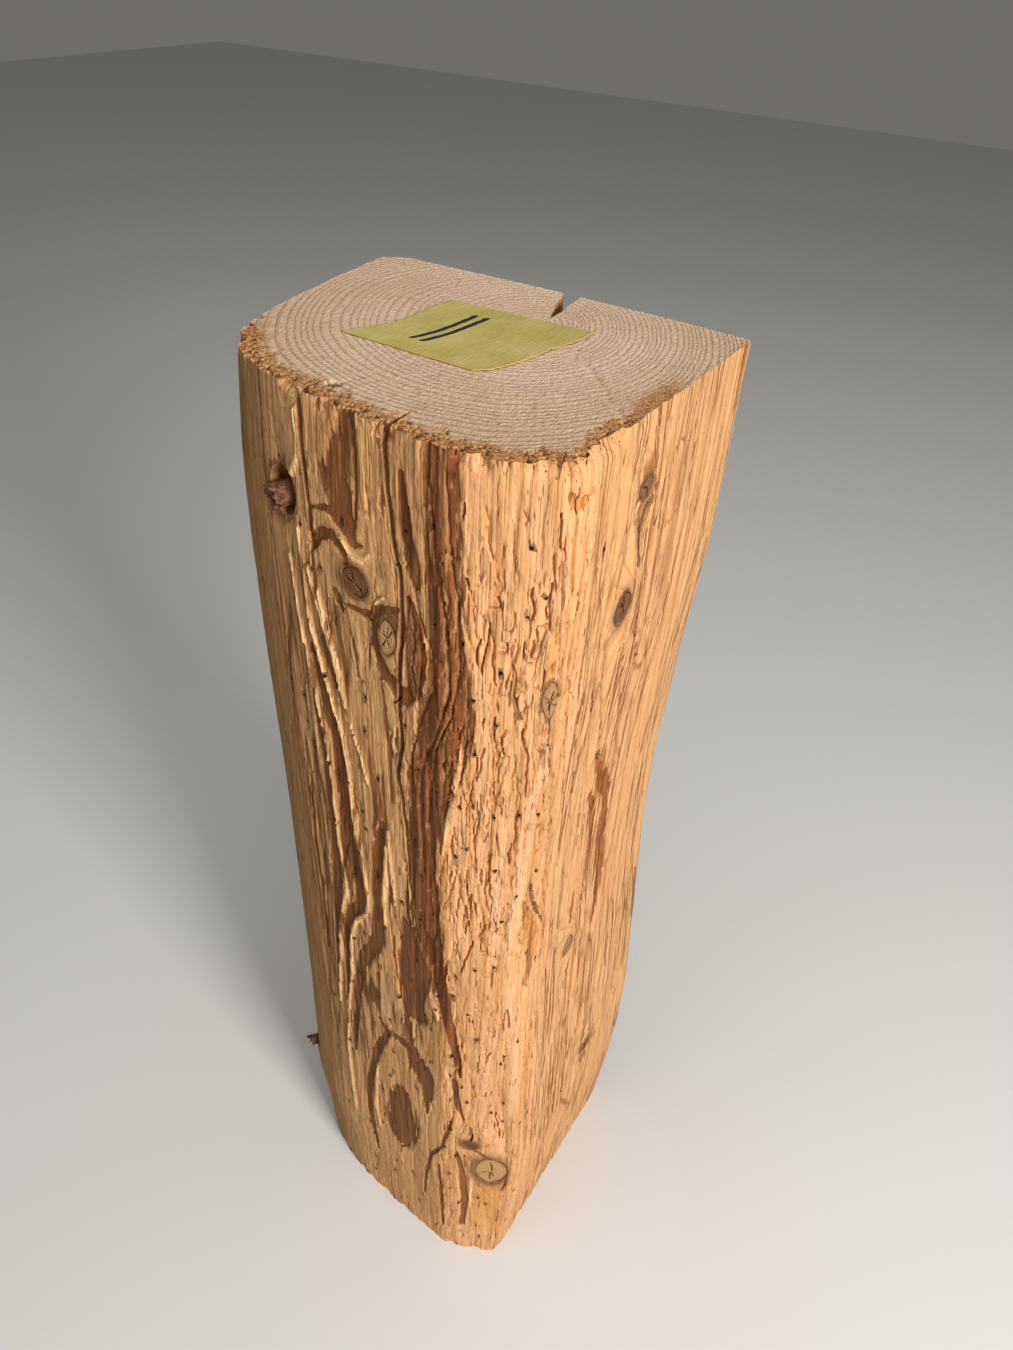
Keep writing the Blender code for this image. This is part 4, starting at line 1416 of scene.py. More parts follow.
        halo, swirl = np.zeros_like(depth), np.zeros_like(depth)
        for knot in KNOTS:
            away, halo_here = self.around_knot(knot, run, high)
            halo = np.maximum(halo, np.minimum(halo_here * knot.halo, 0.95))
            collar = np.where(away < 1.0, 1.0, np.exp(-((away - 1.0) / 0.45) ** 2))
            depth = depth * (1 - 0.80 * collar) + 0.05 * collar
            swirl += 2.3 * np.exp(-(away / 2.4) ** 2) * np.sign(knot.halo)
        for stub in STUBS:
            centre = float(self.skin.run(stub.facing))
            away = np.hypot((run - centre) / (stub.hollow_width / MM),
                            (high - stub.height / MM) / (stub.hollow_height / MM))
            halo = np.maximum(halo, 0.85 * np.exp(-np.clip(away - 1.0, 0, None) / 0.22))
            swirl += 3.2 * np.exp(-(away / 2.4) ** 2)
            above = ((high - stub.height / MM) / (stub.hollow_height / MM) - 1.2) / 1.4
            depth += 0.9 * np.exp(-(((run - centre) / 4.5) ** 2 + above**2))

        wrapped = self.skin.girth * MM / math.tau
        self.marks = {
            Mark.LATEWOOD: stained,
            Mark.BAST: bast,
            Mark.SAPWOOD: sap,
            Mark.HALO: halo,
            # pit: the worm channels, the crumbled top edge and the bast grooves, which the finish
            # colours with brown dust and painted shade
            Mark.PIT: np.clip(0.65 * worm + crumble * smooth_step(487, 490, high) * 0.5
                              + smooth_step(0, 0.7, groove) * 0.85, 0, 1.2),
            Mark.ROT: rot,
            Mark.NOTCH: notch,
            Mark.RIDGE: crest,
            Mark.LINE: np.maximum(smooth_step(-0.3, 0.7, lines),
                                  0.45 * smooth_step(-0.1, 0.25, ovals)),
            Mark.OPEN_GRAIN: np.maximum(right, 0.45 * (1 - sap) * (1 - 0.5 * wane)),
            Mark.GRAIN_X: np.cos(bent * math.tau / self.skin.girth) * wrapped,
            Mark.GRAIN_Y: np.sin(bent * math.tau / self.skin.girth) * wrapped,
            Mark.VALLEY: valley,
            Mark.GOLD: joined_field(GOLD, runs, highs) + ragged,
            Mark.PALE: pale,
            Mark.SWIRL: swirl,
            Mark.SAWN: 1 - wane,
            # painted shade: the left side, which the finish darkens as if it faced away from the
            # light
            Mark.SHADE: between(0, 50, 52, 112, run),
            Mark.RIM: crumble * smooth_step(470, 488, high),
            Mark.FRAY: np.clip(lip * 0.5 + crumble * smooth_step(482, 489, high) + worm * 0.3
                               + 0.5 * smooth_step(0, 0.5, rot), 0, 1) * (halo < 0.3),
            Mark.CRUMBLY: crumble * smooth_step(484, 489, high),
        }
        return np.clip(depth, 0.03, 4.5)

    def grain_run(self, run: np.ndarray, high: np.ndarray) -> np.ndarray:
        """The run that the grain at each place would have if no knot pushed it aside.

        Args:
            run: Runs of the places.
            high: Their heights.

        Returns:
            The undisturbed runs.
        """
        straight = run
        for knot in KNOTS:
            gap = run - float(self.skin.run(knot.facing))
            half = knot.half_width / MM + 1.2
            reach = knot.half_height / MM * 3.2
            push = half**2 * np.exp(-((high - knot.height / MM) / reach) ** 2)
            inner = np.sign(gap) * np.sqrt(np.maximum(gap**2 - push, 0))
            straight = straight + (inner - gap) * np.exp(-(gap / (5 * half)) ** 2)
        return straight

    def around_knot(self, knot: KnotSpec, run: np.ndarray,
                    high: np.ndarray) -> tuple[np.ndarray, np.ndarray]:
        """How far places are from a knot, and how much it darkens them.

        Args:
            knot: The knot.
            run: Runs of the places.
            high: Their heights.

        Returns:
            The distance as a multiple of the knot's size, and the darkening from 0 to 1.
        """
        centre = float(self.skin.run(knot.facing))
        across = (run - centre) / (knot.half_width / MM + 0.4)
        up = (high - knot.height / MM) / (knot.half_height / MM + 0.4)
        away = np.hypot(across, up)
        return away, np.exp(-np.clip(away - 1.0, 0, None) / 0.20)

    # ------------------------------------------------------------------- mesh
    def end_depth(self, points: np.ndarray, run: np.ndarray, inward: np.ndarray,
                  top: bool) -> tuple[np.ndarray, np.ndarray, np.ndarray]:
        """How far an end's surface is sunk, and its marks.

        Args:
            points: x and y of its points, in metres.
            run: The run of the rim point that each belongs to.
            inward: Distance in from the rim, in millimetres.
            top: Whether it is the top end.

        Returns:
            The depth in millimetres, the crumbly share and the pit share.
        """
        x, y = points[..., 0] / MM + 150, points[..., 1] / MM + 150
        turn = math.radians(33)
        across = x * math.cos(turn) + y * math.sin(turn)
        along = y * math.cos(turn) - x * math.sin(turn)
        seed = 30 if top else 60
        depth = 0.10 + 0.05 * self.skin.noise(x, y, (1.4, 1.4), seed)
        depth += 0.05 * self.skin.noise(across, np.abs(along), (1.1, 30), seed + 1)
        weak = between(30, 70, 200, 232, run)
        stained = between(24, 60, 240, 268, run)
        band = 1 - smooth_step(2.5, 10.5, inward)
        lumps = self.skin.noise(run, inward, (3.6, 2.6), seed + 2)
        lumps = lumps + 0.6 * self.skin.noise(run, inward, (1.5, 1.3), seed + 3)
        pits = smooth_step(0.22, 0.62, lumps - 0.65 * (1 - band)) * weak * (inward < 11)
        depth += 2.4 * pits
        rim = stained * np.clip(band + 0.35 * lumps, 0, 1)
        if top:
            tear = self.gap_from_line(points, (0.029, 0.022), (0.068, -0.022))
            torn = np.exp(-(tear / 1.6) ** 2) * (0.5 + 0.5 * self.skin.noise(x, y, (2.2, 2.2), 44))
            depth += 0.60 * torn
            hole = np.hypot(points[..., 0] + 0.012, points[..., 1] + 0.0485) / MM
            holed = 1 - smooth_step(1.2, 2.6, hole + 0.7 * lumps)
            depth += 1.8 * holed
            pits = np.maximum(pits, np.maximum(holed, 0.5 * torn))
        grit = self.skin.noise(run, inward, (1.0, 0.9), seed + 4)
        depth += rim * (0.16 + 0.30 * np.clip(grit, -0.4, 1)) * (0.4 + 0.6 * weak)
        edge = rim * weak * (1 - smooth_step(0, 3.5, inward))
        depth += (0.5 + 0.8 * np.clip(lumps, -0.5, 1)) * edge
        return np.clip(depth, 0.02, None), rim, pits

    def gap_from_line(self, points: np.ndarray, start: Station, end: Station) -> np.ndarray:
        """Distance in millimetres of points from a line on an end, in metres."""
        a, b = np.array(start), np.array(end)
        share = np.clip(((points - a) @ (b - a)) / ((b - a) @ (b - a)), 0, 1)
        return np.linalg.norm(points - a - share[..., None] * (b - a), axis=-1) / MM

    def worn_mesh(self) -> Object:
        """Build the worn skin and ends as one closed mesh.

        Returns:
            The new object.
        """
        section = self.skin.section
        runs, highs = self.columns(), self.rows()
        depth = self.lay_marks(runs, highs)
        facing = self.skin.angle(runs)
        sound = section.point(facing[:, None], highs[None, :] * MM)
        along = np.roll(sound, -1, 0) - np.roll(sound, 1, 0)
        up = np.gradient(sound, axis=1)
        out = np.cross(along, up)
        out /= np.linalg.norm(out, axis=2, keepdims=True)
        skin = sound - out * (depth * MM)[..., None]
        skin[..., 2] = np.clip(skin[..., 2], 0, section.height)
        skin[:, 0, 2], skin[:, -1, 2] = 0.0, section.height
        count, layers = len(runs), len(highs)

        points, marks = [skin.transpose(1, 0, 2).reshape(-1, 3)], {
            name: [values.T.ravel()] for name, values in self.marks.items()}
        fine = [np.zeros(count * layers, bool)]
        centre = np.array(section.pith)
        for top in (True, False):
            rim = skin[:, -1 if top else 0, :2]
            length = np.linalg.norm(rim - centre, axis=1) / MM
            edge = np.arange(1, self.rim_rows + 1) * self.rim_step
            core = np.arange(1, self.core_rows + 1) / (self.core_rows + 0.5)
            inward = np.concatenate([np.broadcast_to(edge[:, None], (len(edge), count)),
                                     edge[-1] + (length - edge[-1]) * core[:, None]])
            flat = rim + (centre - rim) * (inward / length)[..., None]
            run = np.broadcast_to(runs, inward.shape)
            sunk, crumbly, pits = self.end_depth(flat, run, inward, top)
            sunk[-1] = sunk[-1].mean()
            high = section.height - sunk * MM if top else sunk * MM
            points.append(np.concatenate([flat, high[..., None]], -1).reshape(-1, 3))
            fine.append((top & ((crumbly > 0.12) & (inward < 9.5) | (pits > 0.1))).ravel())
            for name, values in marks.items():
                values.append({Mark.RIM: crumbly, Mark.PIT: pits,
                               Mark.CRUMBLY: np.clip(pits + 0.25 * crumbly, 0, 1)
                               }.get(name, np.zeros_like(pits)).ravel())

        around = np.arange(count)
        after = (around + 1) % count

        def band(lower: np.ndarray, upper: np.ndarray) -> np.ndarray:
            """Quads between two rings of points."""
            return np.stack([lower[around], lower[after], upper[after], upper[around]], 1)

        side = [band(around + k * count, around + (k + 1) * count) for k in range(layers - 1)]
        first_top = layers * count
        first_base = first_top + (self.rim_rows + self.core_rows) * count
        rings = [(layers - 1) * count + around]
        rings += [first_top + k * count + around for k in range(self.rim_rows + self.core_rows)]
        top_faces = [band(a, b) for a, b in zip(rings, rings[1:])]
        base_rings = [around]
        base_rings += [first_base + k * count + around
                       for k in range(self.rim_rows + self.core_rows)]
        base_faces = [band(b, a) for a, b in zip(base_rings, base_rings[1:])]
        faces = np.concatenate(side + top_faces + base_faces).tolist()
        faces += [tuple(rings[-1].tolist()), tuple(reversed(base_rings[-1].tolist()))]
        self.kept = np.concatenate(fine)
        mesh = mesh_from("timber_worn", np.concatenate(points), faces)
        kinds = np.full(len(faces), END)
        kinds[:len(side) * count] = SIDE
        mesh.polygons.foreach_set("material_index", kinds)
        for name, values in marks.items():
            set_mark(mesh, name, np.concatenate(values))
        return new_object("timber_worn", mesh)

    # ------------------------------------------------------------------- cutting
    def heart_check(self) -> Object:
        """The wide, rough-walled check from the back face to the heart, as a cutter."""
        section = self.skin.section
        x, y = section.pith
        high = np.arange(-0.006, section.height + 0.008, 0.004)
        wobble = np.random.default_rng(5).uniform(-1, 1, (3, len(high)))
        wobble = np.stack([np.convolve(row, np.ones(7) / 7, "same") for row in wobble])
        mouths = np.stack([x + self.check_lean + wobble[0] * 0.0008,
                           np.full_like(high, y + self.back), high], 1)
        tips = np.stack([x + wobble[1] * 0.0015, y + self.check_stop + wobble[2] * 0.0016, high], 1)
        sides = np.tile((1.0, 0.0, 0.0), (len(high), 1))
        halves = np.full(len(high), self.check_width / 2 - 0.0003)
        return blade("heart_check", mouths, tips, sides, halves, 0.0007, 17)

    def split_cutter(self, split: Split, seed: int) -> Object:
        """A drying split, as a cutter."""
        path = np.array(split.path, float)
        length = np.concatenate([[0], np.cumsum(np.hypot(*np.diff(path, axis=0).T))])
        steps = np.linspace(0, length[-1], max(8, round(length[-1] / 2.2)))
        run, high = (np.interp(steps, length, path[:, k]) for k in (0, 1))
        rng = np.random.default_rng(seed)
        run = run + np.convolve(rng.uniform(-1, 1, len(run)), np.ones(4) / 4, "same") * 0.45
        width = np.interp(steps, length, split.width) * MM
        deep = np.interp(steps, length, split.depth) * MM
        mouths = np.array([self.skin.point(place) for place in zip(run, high)])
        out = np.array([self.skin.outwards(place) for place in zip(run, high)])
        way = np.gradient(mouths, axis=0)
        sides = np.cross(way, out)
        sides /= np.linalg.norm(sides, axis=1, keepdims=True)
        return blade("split", mouths, mouths - out * deep[:, None], sides, width / 2,
                     0.00012, seed)

    def knot_pocket(self, knot: KnotSpec, seed: int) -> Object:
        """The pocket that a dead knot sits in, as a cutter."""
        origin, axis, side = self.skin.radial_frame(knot.facing, knot.height)
        stations = []
        for distance in (0.004, 0.001, -knot.depth * 0.3, -knot.depth - POCKET_GAP):
            share = 1 + KNOT_TAPER * distance / knot.depth
            stations.append((distance, knot.half_width * share + KNOT_GAP,
                             knot.half_height * share + KNOT_GAP))
        return tube_along("pocket", origin, axis, side, stations, 56, 0.0, seed, knot.outline)

    def stub_hollow(self, stub: StubSpec, seed: int) -> Object:
        """The rotted hollow round a broken branch, and the branch's own hole, as a cutter."""
        origin, axis, side = self.skin.radial_frame(stub.facing, stub.height)
        tight = stub.radius + POCKET_GAP
        stations = [(0.004, stub.hollow_width * 1.12, stub.hollow_height * 1.12)]
        for share in (0.0, 0.25, 0.5, 0.7, 0.85, 0.95, 1.0):
            swell = math.sqrt(max(0.0, 1 - share**2))
            stations.append((-share * stub.hollow_depth,
                             tight + 0.0005 + (stub.hollow_width - tight) * swell,
                             tight + 0.0005 + (stub.hollow_height - tight) * swell))
        stations.append((-stub.hollow_depth - 0.0008, tight, tight))
        stations.append((-stub.root - POCKET_GAP, tight, tight))
        return tube_along("hollow", origin, axis, side, stations, 36, 0.06, seed, None,
                          (stub.hollow_width * 0.25, stub.hollow_height * 0.30))

    def worm_bores(self, material: Material) -> Object:
        """The round holes that worms left by, as a cutter.

        Args:
            material: Any material, which the cutter loses again.

        Returns:
            The closed holes.
        """
        runs, highs = np.arange(86, 216, 3.0), np.arange(14, 472, 4.0)
        run, high = np.meshgrid(runs, highs, indexing="ij")
        points = self.skin.section.point(self.skin.angle(run), high * MM).reshape(-1, 3)
        rows = len(highs)
        faces = [(i * rows + j, (i + 1) * rows + j, (i + 1) * rows + j + 1, i * rows + j + 1)
                 for i in range(len(runs) - 1) for j in range(rows - 1)]
        share = 0.75 - 0.65 * smooth_step(196, 204, run)
        for knot in KNOTS:
            share = share * (self.around_knot(knot, run, high)[0] > 2.0)
        patch = new_object("bore_bed", mesh_from("bore_bed", points, faces))
        set_mark(patch.data, Mark.BORED, share)
        bores = Scatter("worm_bores", Shape.BORE, 0.0062, 5200.0, Mark.BORED, 0.00068, 0.007,
                        least=0.7, lean=0.25, seed=4).build(patch, material)
        bpy.data.objects.remove(patch, do_unlink=True)
        bores.data.materials.clear()
        bores.data.polygons.foreach_set("material_index", np.full(len(bores.data.polygons), BORE))
        return bores

    def cut(self, body: Object, cutters: list[Object]) -> None:
        """Cut shapes that don't overlap each other out of the timber.

        Args:
            body: The timber.
            cutters: The shapes, which are removed.
        """
        for cutter in cutters:
            for mat in body.data.materials:
                cutter.data.materials.append(mat)
        joined = join_meshes("cutters", cutters)
        step = body.modifiers.new("cut", "BOOLEAN")
        step.operation, step.object, step.solver = "DIFFERENCE", joined, "MANIFOLD"
        bake_modifiers(body)
        bpy.data.objects.remove(joined, do_unlink=True)

    def build(self, finishes: list[Material], crumb: Material,
              fibre: Material) -> Object:
        """Build the timber, and the loose bits on it.

        Args:
            finishes: The materials in the order of the timber's places.
            crumb: The crumbs' material.
            fibre: The loose fibres' material.

        Returns:
            The finished object.
        """
        body = self.worn_mesh()
        for mat in finishes:
            body.data.materials.append(mat)
        LOG.info("worn skin: %d faces", len(body.data.polygons))
        may_thin = body.vertex_groups.new(name="may_thin")
        may_thin.add(np.flatnonzero(~self.kept).tolist(), 1.0, "REPLACE")
        thin = body.modifiers.new("thin", "DECIMATE")
        thin.ratio = self.triangles / (2 * len(body.data.polygons))
        thin.vertex_group = may_thin.name
        bake_modifiers(body)
        body.vertex_groups.clear()
        keep_below(body.data, self.skin.section.height)
        LOG.info("thinned skin: %d faces", len(body.data.polygons))
        self.loose = [
            Scatter("wood_crumbs", Shape.CRUMB, 0.0008, 160000.0, Mark.CRUMBLY, 0.00042, 0.0008,
                    least=0.3, lean=3.0, seed=7).build(body, crumb),
            Scatter("loose_fibres", Shape.FIBRE, 0.0018, 9000.0, Mark.FRAY, 0.00011, 0.0042,
                    least=0.4, lean=0.22, seed=9).build(body, fibre),
        ]
        for bits in self.loose:
            keep_below(bits.data, self.skin.section.height + 0.0004)
        pockets = [self.knot_pocket(knot, 100 + k) for k, knot in enumerate(KNOTS)]
        hollows = [self.stub_hollow(stub, 200 + k) for k, stub in enumerate(STUBS)]
        self.cut(body, [self.heart_check(), *pockets, *hollows])
        self.cut(body, [self.split_cutter(split, 300 + k) for k, split in enumerate(self.splits)])
        self.cut(body, [self.worm_bores(finishes[BORE])])
        LOG.info("cut timber: %d faces", len(body.data.polygons))
        body.data.shade_smooth()
        body.data.set_sharp_from_angle(angle=math.radians(48))
        body.name = "weathered_timber"
        return body


# ======================================================================= scattered pieces
class Shape(Enum):
    """The small shapes that are scattered."""

    BORE = "bore"
    CRUMB = "crumb"
    FIBRE = "fibre"


@dataclass(frozen=True)
class Scatter:
    """One small shape scattered over a surface by Geometry Nodes."""

    name: str
    shape: Shape
    spacing: float                  # least distance between two, in metres
    density: float                  # most per square metre
    mark: str                       # the mark that says where
    width: float                    # metres
    length: float                   # metres
    least: float = 0.6              # smallest size, as a share
    lean: float = 0.5               # how far each may tilt, in radians
    seed: int = 1

    def tree(self, material: Material) -> bpy.types.NodeTree:
        """Build the node tree.

        Args:
            material: The shapes' material.

        Returns:
            The tree, with inputs named Spacing, Density, Width, Length and Seed.
        """
        tree = bpy.data.node_groups.new(self.name, "GeometryNodeTree")
        socket = tree.interface.new_socket
        socket("Geometry", in_out="INPUT", socket_type="NodeSocketGeometry")
        for label in ("Spacing", "Density", "Width", "Length"):
            socket(label, in_out="INPUT", socket_type="NodeSocketFloat")
        socket("Seed", in_out="INPUT", socket_type="NodeSocketInt")
        socket("Geometry", in_out="OUTPUT", socket_type="NodeSocketGeometry")
        link, add = tree.links.new, tree.nodes.new
        given, result = add("NodeGroupInput"), add("NodeGroupOutput")

        where = add("GeometryNodeInputNamedAttribute")
        where.data_type = "FLOAT"
        where.inputs["Name"].default_value = self.mark
        spread = add("GeometryNodeDistributePointsOnFaces")
        spread.distribute_method = "POISSON"
        link(given.outputs["Geometry"], spread.inputs["Mesh"])
        link(given.outputs["Spacing"], spread.inputs["Distance Min"])
        link(given.outputs["Density"], spread.inputs["Density Max"])
        link(where.outputs["Attribute"], spread.inputs["Density Factor"])
        link(given.outputs["Seed"], spread.inputs["Seed"])

        body = add("GeometryNodeMeshIcoSphere" if self.shape is Shape.CRUMB
                   else "GeometryNodeMeshCone")
        if self.shape is Shape.CRUMB:
            link(given.outputs["Width"], body.inputs["Radius"])
        else:
            body.inputs["Vertices"].default_value = 10 if self.shape is Shape.BORE else 4
            body.inputs["Side Segments"].default_value = 2
            link(given.outputs["Width"], body.inputs["Radius Bottom"])
            narrow = add("ShaderNodeMath")
            narrow.operation = "MULTIPLY"
            narrow.inputs[1].default_value = 1.2 if self.shape is Shape.BORE else 0.2
            link(given.outputs["Width"], narrow.inputs[0])
            link(narrow.outputs[0], body.inputs["Radius Top"])
            link(given.outputs["Length"], body.inputs["Depth"])
        centred = add("GeometryNodeTransform")
        centred.inputs["Translation"].default_value = (0, 0, -self.length * (
            0.75 if self.shape is Shape.BORE else 0.1))
        link(body.outputs["Mesh"], centred.inputs["Geometry"])

        tilt = add("FunctionNodeRandomValue")
        tilt.data_type = "FLOAT_VECTOR"
        tilt.inputs[0].default_value = (-self.lean, -self.lean, -3.1)
        tilt.inputs[1].default_value = (self.lean, self.lean, 3.1)
        turned = add("FunctionNodeRotateRotation")
        turned.rotation_space = "LOCAL"
        link(spread.outputs["Rotation"], turned.inputs["Rotation"])
        link(tilt.outputs[0], turned.inputs["Rotate By"])
        sizes = add("FunctionNodeRandomValue")
        sizes.data_type = "FLOAT_VECTOR"
        low = (self.least, self.least, self.least)
        sizes.inputs[0].default_value = low
        sizes.inputs[1].default_value = (1.0, 1.0, 1.0)
        if self.shape is Shape.BORE:
            sizes.inputs[0].default_value = (self.least, self.least, 1.0)
        for node, step in ((tilt, 1), (sizes, 2)):
            shifted = add("ShaderNodeMath")
            shifted.inputs[1].default_value = step
            link(given.outputs["Seed"], shifted.inputs[0])
            link(shifted.outputs[0], node.inputs["Seed"])
        placed = add("GeometryNodeInstanceOnPoints")
        link(spread.outputs["Points"], placed.inputs["Points"])
        link(centred.outputs["Geometry"], placed.inputs["Instance"])
        if self.shape is Shape.FIBRE:
            link(tilt.outputs[0], placed.inputs["Rotation"])
        else:
            link(turned.outputs["Rotation"], placed.inputs["Rotation"])
        link(sizes.outputs[0], placed.inputs["Scale"])
        real = add("GeometryNodeRealizeInstances")
        dressed = add("GeometryNodeSetMaterial")
        dressed.inputs["Material"].default_value = material
        link(placed.outputs["Instances"], real.inputs["Geometry"])
        link(real.outputs["Geometry"], dressed.inputs["Geometry"])
        link(dressed.outputs["Geometry"], result.inputs["Geometry"])
        return tree

    def build(self, host: Object, material: Material) -> Object:
        """Scatter the shape over a surface.

        Args:
            host: The object whose surface and marks are followed; it isn't changed.
            material: The shapes' material.

        Returns:
            A new object that holds only the shapes.
        """
        bed = new_object(self.name, host.data.copy())
        step = bed.modifiers.new(self.name, "NODES")
        tree = self.tree(material)
        step.node_group = tree
        values = {"Spacing": self.spacing, "Density": self.density, "Width": self.width,
                  "Length": self.length, "Seed": self.seed}
        for item in tree.interface.items_tree:
            if item.in_out == "INPUT" and item.name in values:
                step[item.identifier] = values[item.name]
        bake_modifiers(bed)
        return bed


# ======================================================================= knots, bark and branches
@dataclass
class SkinPlug:
    """Something set into the skin: a face that follows the surface and a tapering body."""

    skin: Skin
    around: int = 56
    rings: int = 16

    def build(self, name: str, knot: KnotSpec, relief: Callable, marks: Callable,
              material: Material) -> Object:
        """Build the plug.

        Args:
            name: Name of the new object.
            knot: Where it sits and how large it is.
            relief: Gives the face's height in metres from distances out and turns.
            marks: Gives the numbers stored at each point, by name, from the same.
            material: Its material.

        Returns:
            The closed object.
        """
        section = self.skin.section
        origin = section.point(knot.facing, knot.height)
        facing = math.radians(knot.facing)
        axis = np.array([math.cos(facing), math.sin(facing), 0.0])
        side = np.array([-math.sin(facing), math.cos(facing), 0.0])
        turn = np.linspace(0, 2 * np.pi, self.around, endpoint=False)
        out = np.linspace(0, 1, self.rings + 1)[1:]
        out_all, turn_all = np.meshgrid(out, turn, indexing="ij")
        edge = knot.outline(turn_all)
        across = out_all * np.cos(turn_all) * knot.half_width * edge
        up = out_all * np.sin(turn_all) * knot.half_height * edge
        flat = origin[:2] + across[..., None] * side[:2]
        pith = np.array(section.pith)
        angle = np.degrees(np.arctan2(flat[..., 1] - pith[1], flat[..., 0] - pith[0]))
        high = knot.height + up
        on_skin = section.point(angle, high)
        lift = relief(out_all, turn_all)
        face = on_skin + lift[..., None] * axis
        wall = []
        for distance in (-0.0012, -knot.depth * 0.4, -knot.depth):
            share = 1 + KNOT_TAPER * distance / knot.depth
            ring = face[-1] + distance * axis
            middle = ring.mean(0)
            wall.append(middle + (ring - middle) * share)
        points = np.concatenate([[face[0].mean(0)], face.reshape(-1, 3), *wall])
        count = self.around
        faces = [(0, 1 + (i + 1) % count, 1 + i) for i in range(count)]
        for k in range(self.rings - 1 + len(wall)):
            for i in range(count):
                j = (i + 1) % count
                faces.append((1 + k * count + i, 1 + k * count + j, 1 + (k + 1) * count + j,
                              1 + (k + 1) * count + i))
        last = 1 + (self.rings - 1 + len(wall)) * count
        faces.append(tuple(range(last, last + count)))
        mesh = mesh_from(name, points, faces)
        turn_faces_out(mesh)
        for key, values in marks(out_all, turn_all).items():
            below = np.full(count * len(wall), 1.25 if key == "knot_out" else values[-1].mean())
            set_mark(mesh, key, np.concatenate([[values[0].mean()], values.ravel(), below]))
        mesh.materials.append(material)
        mesh.shade_smooth()
        mesh.set_sharp_from_angle(angle=math.radians(50))
        return new_object(name, mesh)


@dataclass
class DeadKnots:
    """The knots: dense plugs with drying splits, each in its pocket."""

    skin: Skin
    finish: KnotFace = KnotFace()
    dome: float = 0.0005
    split_depth: float = 0.0013

    def splits(self, seed: int, out: np.ndarray, turn: np.ndarray) -> np.ndarray:
        """How much of a drying split each place on a knot's face lies in.

        Args:
            seed: Picks the splits.
            out: Distance from the knot's heart, as a share.
            turn: Direction, in radians.

        Returns:
            0 where the face is whole, 1 in the middle of a split.
        """
        rng = np.random.default_rng(seed)
        share = np.zeros_like(out)
        for _ in range(int(rng.integers(4, 8))):
            towards, bend = rng.uniform(0, 2 * np.pi), rng.uniform(-0.5, 0.5)
            start, stop = rng.uniform(0, 0.2), rng.uniform(0.6, 1.05)
            gap = (turn - towards - bend * out + np.pi) % (2 * np.pi) - np.pi
            half = rng.uniform(0.020, 0.048)
            line = np.exp(-(gap * np.maximum(out, 0.15) / half) ** 2)
            share = np.maximum(share, line * smooth_step(stop, stop - 0.2, out)
                               * smooth_step(start - 0.1, start + 0.05, out))
        return share

    def build(self) -> list[Object]:
        """Build every knot.

        Returns:
            The finished knots.
        """
        material = self.finish.build()
        made = []
        for k, knot in enumerate(KNOTS):
            rng = np.random.default_rng(70 + k)
            lumps = rng.uniform(-1, 1, 6)

            def relief(out: np.ndarray, turn: np.ndarray, seed: int = 500 + k,
                       lumps: np.ndarray = lumps) -> np.ndarray:
                """Height of the knot's face."""
                rings = 0.00008 * np.sin(out * 30)
                wave = 0.00016 * (lumps[0] * np.cos(turn) + lumps[1] * np.sin(2 * turn + lumps[2]))
                return (-0.0004 + self.dome * (1 - out**2) + rings + wave * out
                        - self.split_depth * self.splits(seed, out, turn))

            def marks(out: np.ndarray, turn: np.ndarray, seed: int = 500 + k,
                      pale: float = knot.pale) -> dict[str, np.ndarray]:
                """Marks on the knot's face."""
                return {"knot_out": out, "knot_turn": self.splits(seed, out, turn),
                        "knot_pale": np.full_like(out, pale)}

            plug = SkinPlug(self.skin).build(f"dead_{knot.node}", knot, relief, marks, material)
            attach(plug, BODY)
            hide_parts(knot.node)
            made.append(plug)
        return made


@dataclass
class BarkPocket:
    """The strip of bark that the wood grew round."""

    skin: Skin
    strip: KnotSpec = KnotSpec("bark_pocket", -81.6, 0.4200, 0.0024, 0.0195, 0.006)

    def relief(self, out: np.ndarray, turn: np.ndarray) -> np.ndarray:
        """Height of the bark: flaky, with cracks along it."""
        across, up = out * np.cos(turn), out * np.sin(turn)
        flakes = np.sin(up * 23 + 2 * np.sin(across * 4)) * np.sin(up * 9 + 1.3)
        cracks = np.exp(-((across - 0.25 * np.sin(up * 5)) / 0.16) ** 2)
        return -0.0009 + 0.00035 * flakes * (1 - out**4) - 0.0009 * cracks * (1 - out**2)

    def marks(self, out: np.ndarray, turn: np.ndarray) -> dict[str, np.ndarray]:
        """Marks on the bark."""
        return {"knot_out": out}

    def build(self) -> Object:
        """Build the bark pocket.

        Returns:
            The finished piece.
        """
        bark = RoughWood("bark", (0.33, 0.13, 0.045), (0.15, 0.055, 0.020), (0.48, 0.24, 0.10),
                         (420, 420, 90)).build()
        plug = SkinPlug(self.skin).build("ingrown_bark", self.strip, self.relief, self.marks, bark)
        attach(plug, BODY)
        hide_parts("bark_pocket")
        return plug


